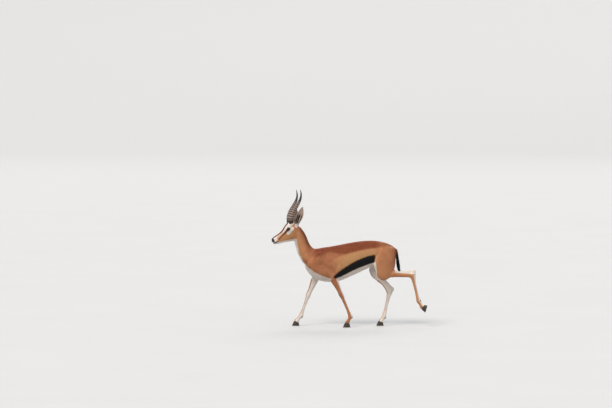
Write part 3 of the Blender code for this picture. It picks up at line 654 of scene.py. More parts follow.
# How far from its line the surface of each part lies, so that near lines can be weighed.
LINE_RADIUS = {
    "nose": 0.024, "jaw": 0.024, "skull": 0.040, "neck": 0.045, "chest": 0.06, "back": 0.07,
    "belly": 0.07, "shoulder": 0.04, "thigh": 0.045, "forearm": 0.022, "shank": 0.026, "tail": 0.021,
}  # fmt: skip
THIN_RADIUS = 0.013  # that of every other line


def line_radius(name):
    return LINE_RADIUS.get(name.split("_")[0], THIN_RADIUS)


def part_reach(points):
    """How far each point is from each part's nearest line, in that line's radii."""
    reach = np.full((len(points), len(PART_NAMES)), np.inf)
    for number, name in enumerate(PART_NAMES):
        for line in PARTS[name]:
            distance = from_line(points, *LINES[line])[1] / line_radius(line)
            reach[:, number] = np.minimum(reach[:, number], distance)
    return reach


def part_of(points):
    """The number of the part that each point belongs to."""
    return part_reach(points).argmin(axis=1)


FLOW_FALL, FLOW_FLAT = 2.4, 0.6  # how fast a line's say falls with distance, and how flat it is near it
HAIR_HANGS = np.array([0.25, 0.0, -0.35])  # how the hair of the flanks turns down and back


def hair_flow(points, normals):
    """The way the hair lies at each point, along the surface."""
    total = np.zeros_like(points)
    for name, (start, end) in LINES.items():
        reach = from_line(points, start, end)[1] / line_radius(name)
        total += unit(end - start) / (reach[:, None] ** FLOW_FALL + FLOW_FLAT)
    side = np.abs(normals[:, 1:2]) * (part_of(points) == PART_NAMES.index("trunk"))[:, None]
    total = unit(total) + HAIR_HANGS * side
    h = in_head(points)
    rim, _, v = eye_opening(h)
    away = unit(v * np.array([1.0, 0.0, 1.0]))
    total += (away @ HEAD_AXES.T) * (1.6 * (1 - rise(rim, 0.002, 0.012)))[:, None]
    total += HEAD_AXES @ HORN_RISE * (2.2 * horn_nearness(h))[:, None]
    return unit(total - normals * np.sum(total * normals, axis=1, keepdims=True))


HORN_RISE = unit(np.array([HORN[2][i] - HORN[0][i] for i in range(3)]) * np.array([1, 0, 1]))


def horn_nearness(h):
    """1 where the head's skin meets a horn, 0 from a centimetre away."""
    off = folded(h) - np.array(HORN[0][:3])
    off = off - (off @ HORN_RISE)[:, None] * HORN_RISE
    return 1 - rise(np.linalg.norm(off, axis=1) - HORN[0][4], 0.003, 0.012)


def leg_place(points, lines, side):
    """How far down a leg each point is, how far forward of its bone, and how far outward of it.

    The first runs from 0 at the top of the first line to 1 at its end, 2 at the next line's end, and so on.
    """
    best = np.full(len(points), np.inf)
    along, fore, outer = (np.zeros(len(points)) for _ in range(3))
    for number, name in enumerate(lines):
        start, end = LINES[name]
        share, reach = from_line(points, start, end)
        run = unit(end - start)
        level = unit(np.array([0.0, side, 0.0]) - run * (run[1] * side))
        ahead = np.cross(run, level) * side
        ahead = ahead if ahead[0] < 0 else -ahead
        closer = reach < best
        best[closer] = reach[closer]
        along[closer] = number + np.clip(share[closer], 0, 1)
        fore[closer] = (points[closer] - start) @ ahead
        outer[closer] = (points[closer] - start) @ level
    return along, fore, outer


# ---------------------------------------------------------------- the coat's depth
TRUNK_TUFT = (0.0125, 0.00135, 0.0026)  # length, width and standing height
GROIN_AT, GROIN_WIDTH = np.array([0.178, 0.060, 0.442]), 0.012  # the long hair before the thigh


def coat_scale(points):
    """Length, width and standing height of a tuft at each point, in metres."""
    part = part_of(points)
    x, _, z = points.T
    h = in_head(points)
    sizes = np.tile(TRUNK_TUFT, (len(points), 1))

    def settle(name, wanted, share=1.0):
        here = part == PART_NAMES.index(name)
        share = np.broadcast_to(share, len(points))[here, None]
        sizes[here] = mix(sizes[here], np.array(wanted), share)

    settle("trunk", (0.0160, 0.0016, 0.0030), rise(stripe_bottom(x) - z, 0.0, 0.02))
    settle("neck", (0.0105, 0.0013, 0.0024))
    settle("head", (0.0050, 0.00085, 0.0011))
    settle("head", (0.0026, 0.0006, 0.0006), rise(h[:, 0], 0.02, 0.11))
    settle("head", (0.0075, 0.0011, 0.0019), rise(-h[:, 0], 0.03, 0.08))
    settle("head", (0.0022, 0.00055, 0.0006), 1 - rise(eye_opening(h)[0], 0.004, 0.018))
    settle("head", (0.0100, 0.0010, 0.0024), horn_nearness(h))
    groin = hump(np.linalg.norm(folded(points) - GROIN_AT, axis=1), GROIN_WIDTH)
    settle("trunk", (0.0260, 0.0017, 0.0090), groin)
    for which, side in SIDES.items():
        settle(f"ear_{which}", (0.0042, 0.0008, 0.0007))
        share = from_line(points, *LINES[f"ear_{which}"])[0]
        settle(f"ear_{which}", (0.0150, 0.0010, 0.0030), 0.8 * (1 - rise(share, 0.10, 0.45)))
        for kind in LEGS:
            name = f"{kind}leg_{which}"
            along = leg_place(points, PARTS[name], side)[0]
            settle(name, (0.0080, 0.0011, 0.0018))
            settle(name, (0.0055, 0.0009, 0.0012), rise(along, 0.3, 1.2))
            settle(name, (0.0046, 0.0009, 0.0010), rise(along, 1.8, 2.6))
            settle(name, (0.0085, 0.0011, 0.0016), rise(along, 2.75, 2.95))
    settle("tail", (0.0200, 0.0016, 0.0036))
    settle("tail", (0.0250, 0.0019, 0.0056), rise(-z, -0.520, -0.440))
    return sizes.T


# ---------------------------------------------------------------- the skin's folds
EYE_OPEN_LONG, EYE_OPEN_HIGH = 0.0150, 0.0094  # half of the opening, measured round the eyeball
EYE_OVAL = 1.8  # the power of the opening's outline: 2 is an ellipse, and less has sharper corners
FAR_FROM_EYE = 0.05
LID_THICK, LID_PLUNGE, LID_REACH = 0.0012, 0.0030, 0.0100
LID_LEAST = 0.0007  # thickness of the skin over the eyeball
# Lines on the head: the nostril's ends in space, the others' ends as (a, c) on the side of the face.
NOSTRIL = ((0.1290, 0.0070, -0.0345), (0.1205, 0.0128, -0.0270))
GLAND = ((0.0290, -0.0105), (0.0420, -0.0185))
MOUTH = ((0.1330, -0.0515), (0.0860, -0.0545))
# Ridges of bone on the face: a line, how far it stands out, and its width.
FACE_RIDGES = [
    (((0.018, -0.022), (-0.056, -0.012)), 0.0014, 0.006),  # cheek arch
    (((0.018, -0.024), (0.074, -0.036)), 0.0010, 0.005),  # crest below and before the eye
]
# Swellings and hollows of the face: a and c of the middle, how far it stands out, and its width.
FACE_SWELLINGS = [
    (-0.008, -0.056, 0.0016, 0.024),  # chewing muscle
    (0.052, -0.014, -0.0014, 0.014),  # hollow before the eye
    (-0.032, 0.008, -0.0018, 0.010),  # temple
    (0.000, 0.0215, 0.0012, 0.011),  # brow
]
# Grooves between the muscles of the body: a line's ends as (x, z), how deep it is, and its width.
BODY_GROOVES = [
    (((-0.205, 0.525), (-0.262, 0.450)), 0.0022, 0.010),  # before the shoulder blade
    (((-0.118, 0.540), (-0.060, 0.440)), 0.0020, 0.013),  # behind the shoulder
    (((-0.060, 0.440), (-0.085, 0.385)), 0.0020, 0.010),
    (((-0.215, 0.430), (-0.150, 0.400)), 0.0016, 0.009),  # between upper arm and triceps
    (((-0.170, 0.520), (-0.225, 0.450)), -0.0012, 0.009),  # spine of the shoulder blade, a ridge
    (((0.150, 0.575), (0.185, 0.520)), 0.0024, 0.020),  # hollow of the flank
    (((0.225, 0.555), (0.252, 0.420)), 0.0012, 0.010),  # before the biceps of the thigh
    (((0.305, 0.520), (0.300, 0.400)), 0.0018, 0.007),  # between the hamstrings
]
THROAT_GROOVE = ((-0.382, 0.640), (-0.300, 0.500))
RIB_SPACING, RIB_HEIGHT = 0.030, 0.0006
RELIEF_LOW = 0.37  # height above which the body has its relief


def eye_opening(h):
    """Signed distance from the edge of the eye's opening, with the distance and way from the eyeball."""
    v = folded(h) - np.array(EYE_AT)
    radius = np.linalg.norm(v, axis=1)
    long = np.arctan2(v[:, 0], np.maximum(v[:, 1], 1e-5)) * EYE_RADIUS
    high = np.arctan2(v[:, 2], np.maximum(v[:, 1], 1e-5)) * EYE_RADIUS
    high = high + 0.14 * long  # the front corner sits lower
    reach = EYE_OPEN_LONG * (1 + 0.22 * rise(long, 0.008, 0.019))  # and is drawn out
    round_off = np.abs(long / reach) ** EYE_OVAL + np.abs(high / EYE_OPEN_HIGH) ** EYE_OVAL
    distance = (round_off ** (1 / EYE_OVAL) - 1) * mix(EYE_OPEN_HIGH, EYE_OPEN_LONG, 0.35)
    outside = (v[:, 1] < -0.002) | (radius > 0.036)
    return np.where(outside, FAR_FROM_EYE, distance), radius, v


def lids(points, h):
    """Draws the skin round the eyeball: behind it in the opening, over it at the lids."""
    distance, radius, v = eye_opening(h)
    rim = EYE_RADIUS + LID_THICK
    wanted = np.where(distance < 0, rim - (LID_THICK + LID_PLUNGE) * rise(-distance, 0.0, 0.0016), rim)
    share = 1 - rise(distance, 0.0012, LID_REACH)
    target = mix(radius, wanted, share)
    target = np.where(distance > 0, np.maximum(target, EYE_RADIUS + LID_LEAST), target)
    fold = hump(distance - 0.0042, 0.0011) * (v[:, 2] > -0.004)  # of the upper lid
    target = target - 0.0007 * fold
    near = distance < 2.5 * LID_REACH
    move = (unfolded(unit(v), h) * (target - radius)[:, None]) @ HEAD_AXES.T
    return points + move * near[:, None]


def flat_line(a, c, line):
    """Share along a line drawn on the side of the face, and the distance from it."""
    return from_line(np.stack([a, c], axis=1), *line)


def muzzle_relief(h):
    """How far the folds of the muzzle stand out, in metres: nostrils, mouth, pad and scent glands."""
    a, b, c = folded(h).T
    _, gland = flat_line(a, c, GLAND)
    out = rise(b, 0.006, 0.014) * (-0.0017 * hump(gland, 0.0012) + 0.0007 * hump(gland - 0.0030, 0.0014))
    _, nostril = from_line(folded(h), *NOSTRIL)
    out += -0.0052 * hump(nostril, 0.0023) + 0.0009 * hump(nostril - 0.0046, 0.0016)
    share, mouth = flat_line(a, c, MOUTH)
    closed = rise(1 - share, -0.03, 0.06)
    out += -0.0019 * hump(mouth, 0.0010) * closed + 0.0004 * hump(mouth - 0.0024, 0.0013) * closed
    under_mouth = mix(MOUTH[0][1], MOUTH[1][1], np.clip(share, 0, 1)) - c
    out -= 0.0009 * rise(under_mouth, 0.0, 0.003) * rise(a, 0.085, 0.10)
    cleft = rise(a, 0.122, 0.127) * rise(-c, 0.030, 0.036) * rise(c, -0.054, -0.050)
    out -= 0.0010 * hump(b, 0.0008) * cleft
    return out + 0.0006 * rise(a, 0.1185, 0.1205) * rise(c, -0.0445, -0.0425)  # the pad's edge


def face_relief(h):
    """How far the skin of the head stands out, in metres."""
    a, b, c = folded(h).T
    side = rise(b, 0.006, 0.014)
    out = muzzle_relief(h)
    for line, height, width in FACE_RIDGES:
        out += height * hump(flat_line(a, c, line)[1], width) * side
    for middle_a, middle_c, height, width in FACE_SWELLINGS:
        out += height * hump(np.hypot(a - middle_a, c - middle_c), width) * side
    out -= 0.0011 * hump(np.hypot(a - 0.030, (c + 0.050) * 0.6), 0.010) * side  # before that muscle
    out -= 0.0009 * hump(np.hypot(a - 0.012, b * 0.8), 0.012) * rise(c, 0.01, 0.02)  # mid forehead
    out += 0.0030 * horn_nearness(h) * rise(c, 0.010, 0.020)
    return out


def body_relief(points):
    """How far the muscles and bones under the hide stand out, in metres."""
    x, y, z = folded(points).T
    flat = np.stack([x, z], axis=1)
    side = rise(y, 0.020, 0.045)
    out = np.zeros(len(x))
    for line, depth, width in BODY_GROOVES:
        out -= depth * hump(from_line(flat, *line)[1], width) * side
    out += 0.0012 * hump(np.hypot(x - 0.218, z - 0.578), 0.024) * side  # point of the hip
    ribs = rise(x, -0.05, 0.0) * (1 - rise(x, 0.10, 0.14)) * rise(z, 0.40, 0.44) * (1 - rise(z, 0.55, 0.58))
    out += RIB_HEIGHT * np.sin((x + 0.25 * z) * 2 * math.pi / RIB_SPACING) * ribs * side
    _, groove = from_line(flat, *THROAT_GROOVE)
    out -= 0.0018 * hump(groove, 0.008) * rise(y, 0.008, 0.02) * (x < -0.27)
    return out


def leg_relief(points, part):
    """Tendon grooves and joint bones of the lower legs, in metres."""
    out = np.zeros(len(points))
    for which, side in SIDES.items():
        for kind in LEGS:
            here = part == PART_NAMES.index(f"{kind}leg_{which}")
            along, fore, outer = leg_place(points[here], PARTS[f"{kind}leg_{which}"], side)
            cannon = rise(along, 1.08, 1.25) * (1 - rise(along, 1.80, 1.92))
            flank = rise(np.abs(outer), 0.004, 0.008)
            out[here] -= 0.0016 * hump(fore + 0.0042, 0.0022) * cannon * flank  # before the tendons
            out[here] += 0.0008 * hump(along - 1.97, 0.05) + 0.0006 * hump(along - 1.02, 0.05)  # joints
            out[here] += 0.0024 * rise(along, 2.80, 2.97)  # coronet
            hollow = hump(along - 0.80, 0.14) * flank * (kind == "hind")  # between shank and tendon
            out[here] -= 0.0012 * hump(fore + 0.010, 0.006) * hollow
    return out


def refine(mesh, centres, radius):
    """Halves the faces near the centres."""
    bm = bmesh.new()
    bm.from_mesh(mesh)
    edges = [e for e in bm.edges if any((e.verts[0].co - c).length < radius for c in centres)]
    bmesh.ops.subdivide_edges(bm, edges=edges, cuts=1, use_grid_fill=True)
    bm.to_mesh(mesh)
    bm.free()


def point_arrays(mesh):
    count = len(mesh.vertices)
    points, normals = np.empty(count * 3, np.float32), np.empty(count * 3, np.float32)
    mesh.vertices.foreach_get("co", points)
    mesh.vertices.foreach_get("normal", normals)
    return points.reshape(-1, 3).astype(float), normals.reshape(-1, 3).astype(float)


def put_points(mesh, points):
    mesh.vertices.foreach_set("co", points.astype(np.float32).ravel())
    mesh.update()


def sculpt(mesh):
    """Draws the skin in by the coat's depth and gives it its folds."""
    points, normals = point_arrays(mesh)
    part = part_of(points)
    on_head, on_body = part == PART_NAMES.index("head"), part >= PART_NAMES.index("neck")
    out = -coat_scale(points)[2]
    out = out + np.where(on_head, face_relief(in_head(points)), 0.0)
    out = out + np.where(on_body, body_relief(points) * (points[:, 2] > RELIEF_LOW), 0.0)
    out = out + leg_relief(points, part)
    points = points + normals * out[:, None]
    near_eye = np.linalg.norm(points - HEAD_AT, axis=1) < 0.08
    points[near_eye] = lids(points[near_eye], in_head(points[near_eye]))
    put_points(mesh, points)


def lighten(obj, triangles):
    """Thins out the skin's faces, but not on the head."""
    points, _ = point_arrays(obj.data)
    body = rise(np.linalg.norm(points - HEAD_AT, axis=1), 0.14, 0.22)
    weigh(obj, "body", body, 4)
    faces = sum(len(polygon.vertices) - 2 for polygon in obj.data.polygons)
    decimate = obj.modifiers.new("lighter", "DECIMATE")
    decimate.ratio = triangles / faces
    decimate.vertex_group = "body"
    bake(obj)
    obj.vertex_groups.clear()


def make_skin():
    """The skin with its folds: finer at the eyes and the muzzle, and thinned out behind the head."""
    skin = merged_skin()
    refine(skin.data, [TO_BODY @ mirrored(EYE_AT, side) for side in (-1, 1)], 0.030)
    refine(skin.data, [TO_BODY @ MUZZLE_AT], 0.034)
    sculpt(skin.data)
    lighten(skin, SKIN_TRIANGLES)
    skin.data.shade_smooth()
    return skin


# ---------------------------------------------------------------- markings
# Edges of the flank's bands: their height at each x along the trunk.
def band_top(x):
    return 0.5145 + 0.30 * x - 0.45 * x**2


def stripe_top(x):
    return 0.4340 + 0.64 * x - 1.2 * x**2


def stripe_bottom(x):
    return 0.3790 + 0.50 * x - 0.55 * x**2


def breast_edge(x):
    """Height below which the breast and the underside of the chest are white."""
    return np.interp(x, [-0.300, -0.220, -0.163, -0.074, 0.0], [0.452, 0.390, 0.364, 0.334, 0.345])


STRIPE_FRONT, STRIPE_REAR = -0.090, 0.1985
WHITE_EDGE = 0.0030  # half width of the soft edge round white and black
NOWHERE = -0.012  # signed distance of a marking that is far away


def marks(points, tone, dark=0.0, white=NOWHERE, black=NOWHERE):
    """The four markings: how deep the fawn is, how dark over it, and how far inside white and black."""
    full = np.ones(len(points))
    white, black = np.clip(white, NOWHERE, -NOWHERE), np.clip(black, NOWHERE, -NOWHERE)
    return {"tone": tone * full, "dark": dark * full, "white": white * full, "black": black * full}


def trunk_tone(x, z):
    """The fawn of the trunk: a deeper back, and a light band over the black stripe."""
    lower = band_top(x) + 0.058 * rise(-x, 0.0, 0.15)
    saddle = rise(z - lower, -0.006, 0.016) * rise(x, -0.26, -0.19)
    haunch = rise(x, 0.19, 0.24)
    band = (1 - rise(z - band_top(x), -0.008, 0.006)) * rise(z, 0.36, 0.42)
    band *= rise(x, -0.12, -0.02) * (1 - 0.55 * rise(x, 0.19, 0.25)) * (1 - rise(x, 0.28, 0.33))
    tone = 0.55 + 0.12 * rise(z, 0.48, 0.55) - 0.08 * rise(-z, -0.43, -0.38)
    tone = mix(tone, 0.50 - 0.20 * rise(-z, -0.46, -0.38), haunch)
    tone = mix(tone, 0.92 - 0.16 * haunch, saddle)
    return mix(tone, 0.04, band * (1 - haunch * 0.55))


def trunk_marks(points, normals):
    x, y, z = folded(points).T
    rear_edge = hump(x - 0.345, 0.011) * rise(x, 0.19, 0.24)
    tone = trunk_tone(x, z) + 0.30 * rear_edge
    black = np.minimum.reduce([stripe_top(x) - z, z - stripe_bottom(x), STRIPE_REAR - x, x - STRIPE_FRONT])
    beside_rump = np.minimum.reduce([0.0030 - np.abs(y - 0.037), x - 0.312, 0.548 - z, z - 0.435])
    belly = np.minimum(stripe_bottom(x) - z, x - STRIPE_FRONT - 0.012) + 0.5 * np.minimum(0.195 - x, 0)
    brisket = np.minimum(breast_edge(x) - z, -x - 0.03)
    rump = np.minimum.reduce([x - 0.312, 0.0335 - y, 0.540 - z])
    white = np.maximum.reduce([belly, brisket, rump])
    for which, side in SIDES.items():
        here = points[:, 1] * side > 0
        _, fore, outer = leg_place(points[here], [f"thigh_{which}"], side)
        inner = -outer - 0.010 + 0.9 * np.maximum(fore - 0.057, 0) + 0.5 * np.maximum(-fore - 0.066, 0)
        share = rise(0.468 - z[here], 0.0, 0.015) * rise(x[here], 0.150, 0.175)
        white[here] = mix(white[here], inner, share)
        black[here] = mix(black[here], NOWHERE, rise(x[here], STRIPE_REAR, STRIPE_REAR + 0.004))
    return marks(points, tone, 0.30 * rear_edge, white, np.maximum(black, beside_rump))


def neck_marks(points, normals):
    """A dark nape, pale sides, a white strip down the throat and a white breast."""
    x, z = points[:, 0], points[:, 2]
    levels = np.array(sorted((row[1], row[0], row[2]) for row in NECK))
    centre = np.interp(z, levels[:, 0], levels[:, 1])
    half = np.interp(z, levels[:, 0], levels[:, 2])
    front = (centre - x) / half
    nape = rise(-front, 0.35, 0.95)
    tone = mix(0.50, 0.18, rise(front, -0.55, 0.30)) + 0.26 * nape
    tone = mix(tone, 0.52, rise(-z, -0.53, -0.46))
    edge = np.interp(z, [0.455, 0.500, 0.600, 0.660, 0.685], [1.10, 0.86, 0.66, 0.58, 1.20])
    width = np.interp(z, [0.430, 0.460, 0.520], [0.030, 0.022, 0.026])
    breast = np.minimum.reduce([width - np.abs(points[:, 1]), (front - 0.25) * half, 0.52 - z])
    breast = np.maximum(breast, breast_edge(x) - z)
    below_jaw = -0.078 - in_head(points)[:, 2]
    across = np.interp(z, [0.440, 0.500, 0.600], [0.018, 0.030, 0.060]) - np.abs(points[:, 1])
    white = np.maximum(0.45 * np.minimum.reduce([(front - edge) * half, below_jaw, across]), breast)
    return marks(points, tone, 0.42 * nape, white)


# Lines that the face's markings follow: the ends of each as (a, c) on the side of the face.
STRIPE_LINE = ((0.020, 0.012), (0.118, -0.0270))
BROW_LINE = ((-0.044, 0.026), (0.022, 0.0105))
UNDER_EYE_LINE = ((0.013, -0.0265), (-0.028, -0.0130))
LIP_LINE = ((0.100, -0.0350), (0.129, -0.0470))
TEAR_LINE = ((0.0205, -0.0120), (0.0870, -0.0405))
EYE_CORNER_LINE = ((0.014, -0.003), (0.0245, -0.008))


def blaze(a, b, c):
    """The reddish blaze: where it ends to the side, where it lies, and how dark it is."""
    edge = np.interp(a, [-0.06, -0.02, 0.02, 0.06, 0.12], [0.012, 0.014, 0.0165, 0.0120, 0.0090])
    top = rise(c - np.interp(a, [-0.06, 0.0, 0.13], [0.005, 0.000, -0.040]), 0.0, 0.004)
    here = rise(edge - b, -0.0015, 0.0015) * top
    forehead = (1 - rise(a, 0.005, 0.045)) * rise(a, -0.05, -0.02)
    nose_blotch = hump(a - 0.100, 0.020)
    return edge, here, here * np.clip(0.60 * forehead + 0.30 + 0.50 * nose_blotch, 0, 0.85)


def head_white(a, b, c, rim, blaze_edge):
    """Signed distance into the white: a stripe beside the blaze, round the eye, under it, jaw and lip."""
    _, stripe = flat_line(a, c, STRIPE_LINE)
    _, brow = flat_line(a, c, BROW_LINE)
    width = mix(0.0135, 0.0080, rise(a, 0.02, 0.10))
    beside = np.minimum(np.maximum(width - stripe, 0.0140 - brow), b - blaze_edge)
    _, under = flat_line(a, c, UNDER_EYE_LINE)
    jaw = np.interp(a, [-0.05, 0.0, 0.05, 0.10, 0.13], [-0.094, -0.080, -0.066, -0.055, -0.050]) - c
    _, lip = flat_line(a, c, LIP_LINE)
    ring = np.where(a < 0.012, 0.0135 - rim, NOWHERE)
    return np.maximum.reduce([beside, 0.0102 - under, jaw, 0.0065 - lip, ring])


def head_marks(points, normals):
    """Blaze, white beside it, a dark line from the eye to the muzzle, and black lids, pad and lips."""
    h = in_head(points)
    a, b, c = folded(h).T
    rim, _, _ = eye_opening(h)
    blaze_edge, on_blaze, dark = blaze(a, b, c)
    tone = mix(0.16 + 0.22 * rise(-a, 0.0, 0.06), 0.90, on_blaze)
    horn_spot = hump(np.hypot(a + 0.062, c - 0.017), 0.0095) * rise(b, 0.012, 0.018)
    dark = np.maximum(dark, 0.75 * horn_spot)

    tear_share, tear = flat_line(a, c, TEAR_LINE)
    tear = np.where(b > 0.006, np.minimum(0.0046 - tear, 0.05), NOWHERE)
    white = np.minimum(head_white(a, b, c, rim, blaze_edge), -tear)
    dark = np.maximum(dark, 0.80 * rise(tear, -0.0015, 0.0020))

    _, corner = flat_line(a, c, EYE_CORNER_LINE)
    eye_rim = np.maximum(0.0046 - rim, np.where(b > 0.02, 0.0030 - corner, NOWHERE))
    tear_line = tear - 0.0012 - 0.012 * rise(tear_share, 0.30, 0.70)
    pad = np.minimum(a - 0.1185, c + 0.0445)
    lips = np.minimum(0.0036 - flat_line(a, c, MOUTH)[1], a - 0.096)
    return marks(points, tone, dark, white, np.maximum.reduce([eye_rim, tear_line, pad, lips]))


def ear_marks(which):
    """A fawn back with a dark edge, and inside it white locks and black hollows: dark bare skin, with painted
    shade deep in the cup.
    """
    line, side = LINES[f"ear_{which}"], -SIDES[which]
    faces = np.array(TO_BODY.to_3x3() @ mirrored(EAR_FACES, side))
    across = np.cross(unit(line[1] - line[0]), faces)

    def mark(points, normals):
        share = from_line(points, *line)[0]
        inside = rise(normals @ faces, 0.05, 0.35)
        width = np.interp(share, [row[0] for row in EAR], [row[1] for row in EAR])
        place = (points - line[0]) @ across / width * side
        rows = 1 - 0.95 * hump(place - 0.34, 0.11) - 0.6 * hump(place + 0.30, 0.08)
        deep = rise(share, 0.04, 0.16) * (1 - rise(share, 0.42, 0.80)) * (1 - rise(np.abs(place), 0.62, 0.85))
        # Black deep in the cup where it faces out: partly the ear's dark bare skin between the white rows,
        # partly painted shade in the hollow.
        hollow = rise(normals @ faces, 0.35, 0.65) * deep * rows
        edge = rise(share, 0.86, 1.0) + 0.5 * rise(np.abs(place), 0.86, 1.0)
        locks = inside * (1 - rise(share, 0.20, 0.55)) * (1 - rows * rise(share, 0.05, 0.14))
        white = mix(-0.0016, -0.0008, inside) + 0.0035 * locks
        return marks(points, mix(0.42, 0.20, inside), 0.74 + 0.16 * edge, white, mix(-0.006, 0.0045, hollow))

    return mark


def leg_marks(which, kind):
    """Fawn down the front and outside, white behind and inside, and dark dewclaws."""
    side, lines = SIDES[which], PARTS[f"{kind}leg_{which}"]

    def mark(points, normals):
        along, fore, outer = leg_place(points, lines, side)
        radius = np.interp(along, [0.0, 0.6, 1.0, 3.0], [0.026, 0.017, 0.012, 0.012])
        rear = mix(0.66, 0.52, rise(along, 0.9, 1.1)) if kind == "hind" else 0.74
        white = np.maximum(-0.9 * outer - 0.45 * fore - 0.22 * radius, -fore - rear * radius)
        top, low = (0.58, 0.48) if kind == "fore" else (0.34, 0.12)
        tone = mix(top, low, rise(along, 0.6, 1.6))
        dark = 0.35 * rise(along, 2.55, 2.95) + 0.12 * hump(along - 1.0, 0.08) * (kind == "fore")
        return marks(points, tone, dark, white, in_dewclaws(points, LEGS[kind][side]))

    return mark


def in_dewclaws(points, j):
    """Signed distance into the dewclaws, which are bare horn."""
    inside = np.full(len(points), NOWHERE)
    for side in (-1, 1):
        top, tip, _, back = dewclaw_axis(j, side)
        _, reach = from_line(points, top + back * 0.004, tip + back * 0.002)
        inside = np.maximum(inside, 0.0062 - reach)
    return inside


def tail_marks(points, normals):
    """Fawn at the root, and black below it."""
    z = points[:, 2]
    return marks(points, 0.88, 0.62 * rise(-z, -0.558, -0.524), NOWHERE, 0.5215 - z)


MARKERS = {
    "head": head_marks, "neck": neck_marks, "trunk": trunk_marks, "tail": tail_marks,
    **{f"ear_{which}": ear_marks(which) for which in SIDES},
    **{f"{kind}leg_{which}": leg_marks(which, kind) for kind in LEGS for which in SIDES},
}  # fmt: skip
MARK_KEYS = ("tone", "dark", "white", "black")
JOIN_POWER = -12.0  # how sharply the parts' markings give way to each other
LEAST_SHARE = 0.002


def part_shares(points):
    """How much each part has a say at each point: nearly all at most places, blended at the joins."""
    reach = part_reach(points)
    share = (reach / reach.min(axis=1, keepdims=True)) ** JOIN_POWER
    return share / share.sum(axis=1, keepdims=True)


def all_marks(points, normals):
    """Every marking's value at each point: the parts' own markings, blended where they join."""
    shares = part_shares(points)
    total = {key: np.zeros(len(points)) for key in MARK_KEYS}
    for number, name in enumerate(PART_NAMES):
        here = shares[:, number] > LEAST_SHARE
        if here.any():
            made = MARKERS[name](points[here], normals[here])
            for key in MARK_KEYS:
                total[key][here] += made[key] * shares[here, number]
    return total


def bareness(points):
    """1 where there is naked skin or horn: nose pad, nostrils, lips, lid rims, dewclaws and soles."""
    h = in_head(points)
    a, _, c = folded(h).T
    rim, _, _ = eye_opening(h)
    _, nostril = from_line(folded(h), *NOSTRIL)
    _, mouth = flat_line(a, c, MOUTH)
    pad = np.maximum.reduce([np.minimum(a - 0.1190, c + 0.0435), 0.0040 - nostril, 0.0010 - mouth])
    face = np.maximum(rise(0.0030 - rim, -0.0004, 0.0004), rise(pad, -0.0006, 0.0006))
    bare = np.where(part_of(points) == PART_NAMES.index("head"), face, 0)
    for j in (*FORE.values(), *HIND.values()):
        bare = np.maximum(bare, rise(in_dewclaws(points, j), -0.0005, 0.0005))
        offset = points - np.array(j["coronet"])
        past = offset @ np.array((j["coronet"] - j["fetlock"]).normalized())
        near = np.linalg.norm(offset, axis=1) < 0.04
        bare = np.maximum(bare, near * rise(past, 0.0015, 0.003))
    return bare


# ---------------------------------------------------------------- materials
def srgb(*channels):
    """A colour given in screen values up to 255, as the linear light that materials take."""
    linear = [((v / 255 + 0.055) / 1.055) ** 2.4 if v > 10 else v / 3295 for v in channels]
    return (*linear, 1.0)


class Tree:
    """A material's nodes, made and linked in short calls."""

    def __init__(self, name):
        self.material = bpy.data.materials.new(name)
        self.material.use_nodes = True
        self.nodes, self.links = self.material.node_tree.nodes, self.material.node_tree.links
        self.shader = self.nodes["Principled BSDF"]

    def put(self, socket, value):
        if isinstance(value, bpy.types.NodeSocket):
            self.links.new(value, socket)
        elif value is not None:
            socket.default_value = value

    def attribute(self, name, output="Fac"):
        node = self.nodes.new("ShaderNodeAttribute")
        node.attribute_name = name
        return node.outputs[output]

    def math(self, operation, a, b=None, c=None, clamp=False):
        node = self.nodes.new("ShaderNodeMath")
        node.operation, node.use_clamp = operation, clamp
        for socket, value in zip(node.inputs, (a, b, c)):
            self.put(socket, value)
        return node.outputs[0]

    def noise(self, where, scale, detail):
        node = self.nodes.new("ShaderNodeTexNoise")
        self.put(node.inputs["Vector"], where)
        node.inputs["Scale"].default_value = scale
        node.inputs["Detail"].default_value = detail
        return node.outputs["Fac"]

    def step(self, value, low, high, to_low=0.0, to_high=1.0):
        node = self.nodes.new("ShaderNodeMapRange")
        node.interpolation_type = "SMOOTHSTEP"
        for name, number in (("From Min", low), ("From Max", high), ("To Min", to_low), ("To Max", to_high)):
            node.inputs[name].default_value = number
        self.put(node.inputs["Value"], value)
        return node.outputs["Result"]

    def mix(self, factor, a, b):
        node = self.nodes.new("ShaderNodeMix")
        node.data_type = "RGBA"
        self.put(node.inputs[0], factor)
        self.put(node.inputs[6], a)
        self.put(node.inputs[7], b)
        return node.outputs[2]

    def ramp(self, value, stops):
        node = self.nodes.new("ShaderNodeValToRGB")
        elements = node.color_ramp.elements
        while len(elements) < len(stops):
            elements.new(0.5)
        for element, (place, colour) in zip(elements, stops):
            element.position, element.color = place, colour
        self.put(node.inputs["Fac"], value)
        return node.outputs["Color"]

    def stretch(self, where, scale):
        node = self.nodes.new("ShaderNodeMapping")
        node.inputs["Scale"].default_value = scale
        self.put(node.inputs["Vector"], where)
        return node.outputs["Vector"]

    def place(self):
        return self.nodes.new("ShaderNodeTexCoord").outputs["Object"]

    def bump(self, height, distance, strength=1.0):
        node = self.nodes.new("ShaderNodeBump")
        node.inputs["Distance"].default_value = distance
        node.inputs["Strength"].default_value = strength
        self.put(node.inputs["Height"], height)
        self.put(self.shader.inputs["Normal"], node.outputs["Normal"])

    def finish(self, colour, roughness, **constants):
        self.put(self.shader.inputs["Base Color"], colour)
        self.put(self.shader.inputs["Roughness"], roughness)
        for name, value in constants.items():
            self.shader.inputs[name.replace("_", " ")].default_value = value
        return self.material


# Fawn from light to dark, by tone
FAWN_RAMP = [(0.00, srgb(203, 150, 101)), (0.35, srgb(197, 133, 91)), (0.62, srgb(174, 109, 73)),
             (1.00, srgb(130, 56, 27))]  # fmt: skip
DARK_HAIR, WHITE_HAIR, BLACK_HAIR = srgb(52, 29, 17), srgb(238, 225, 213), srgb(14, 13, 13)


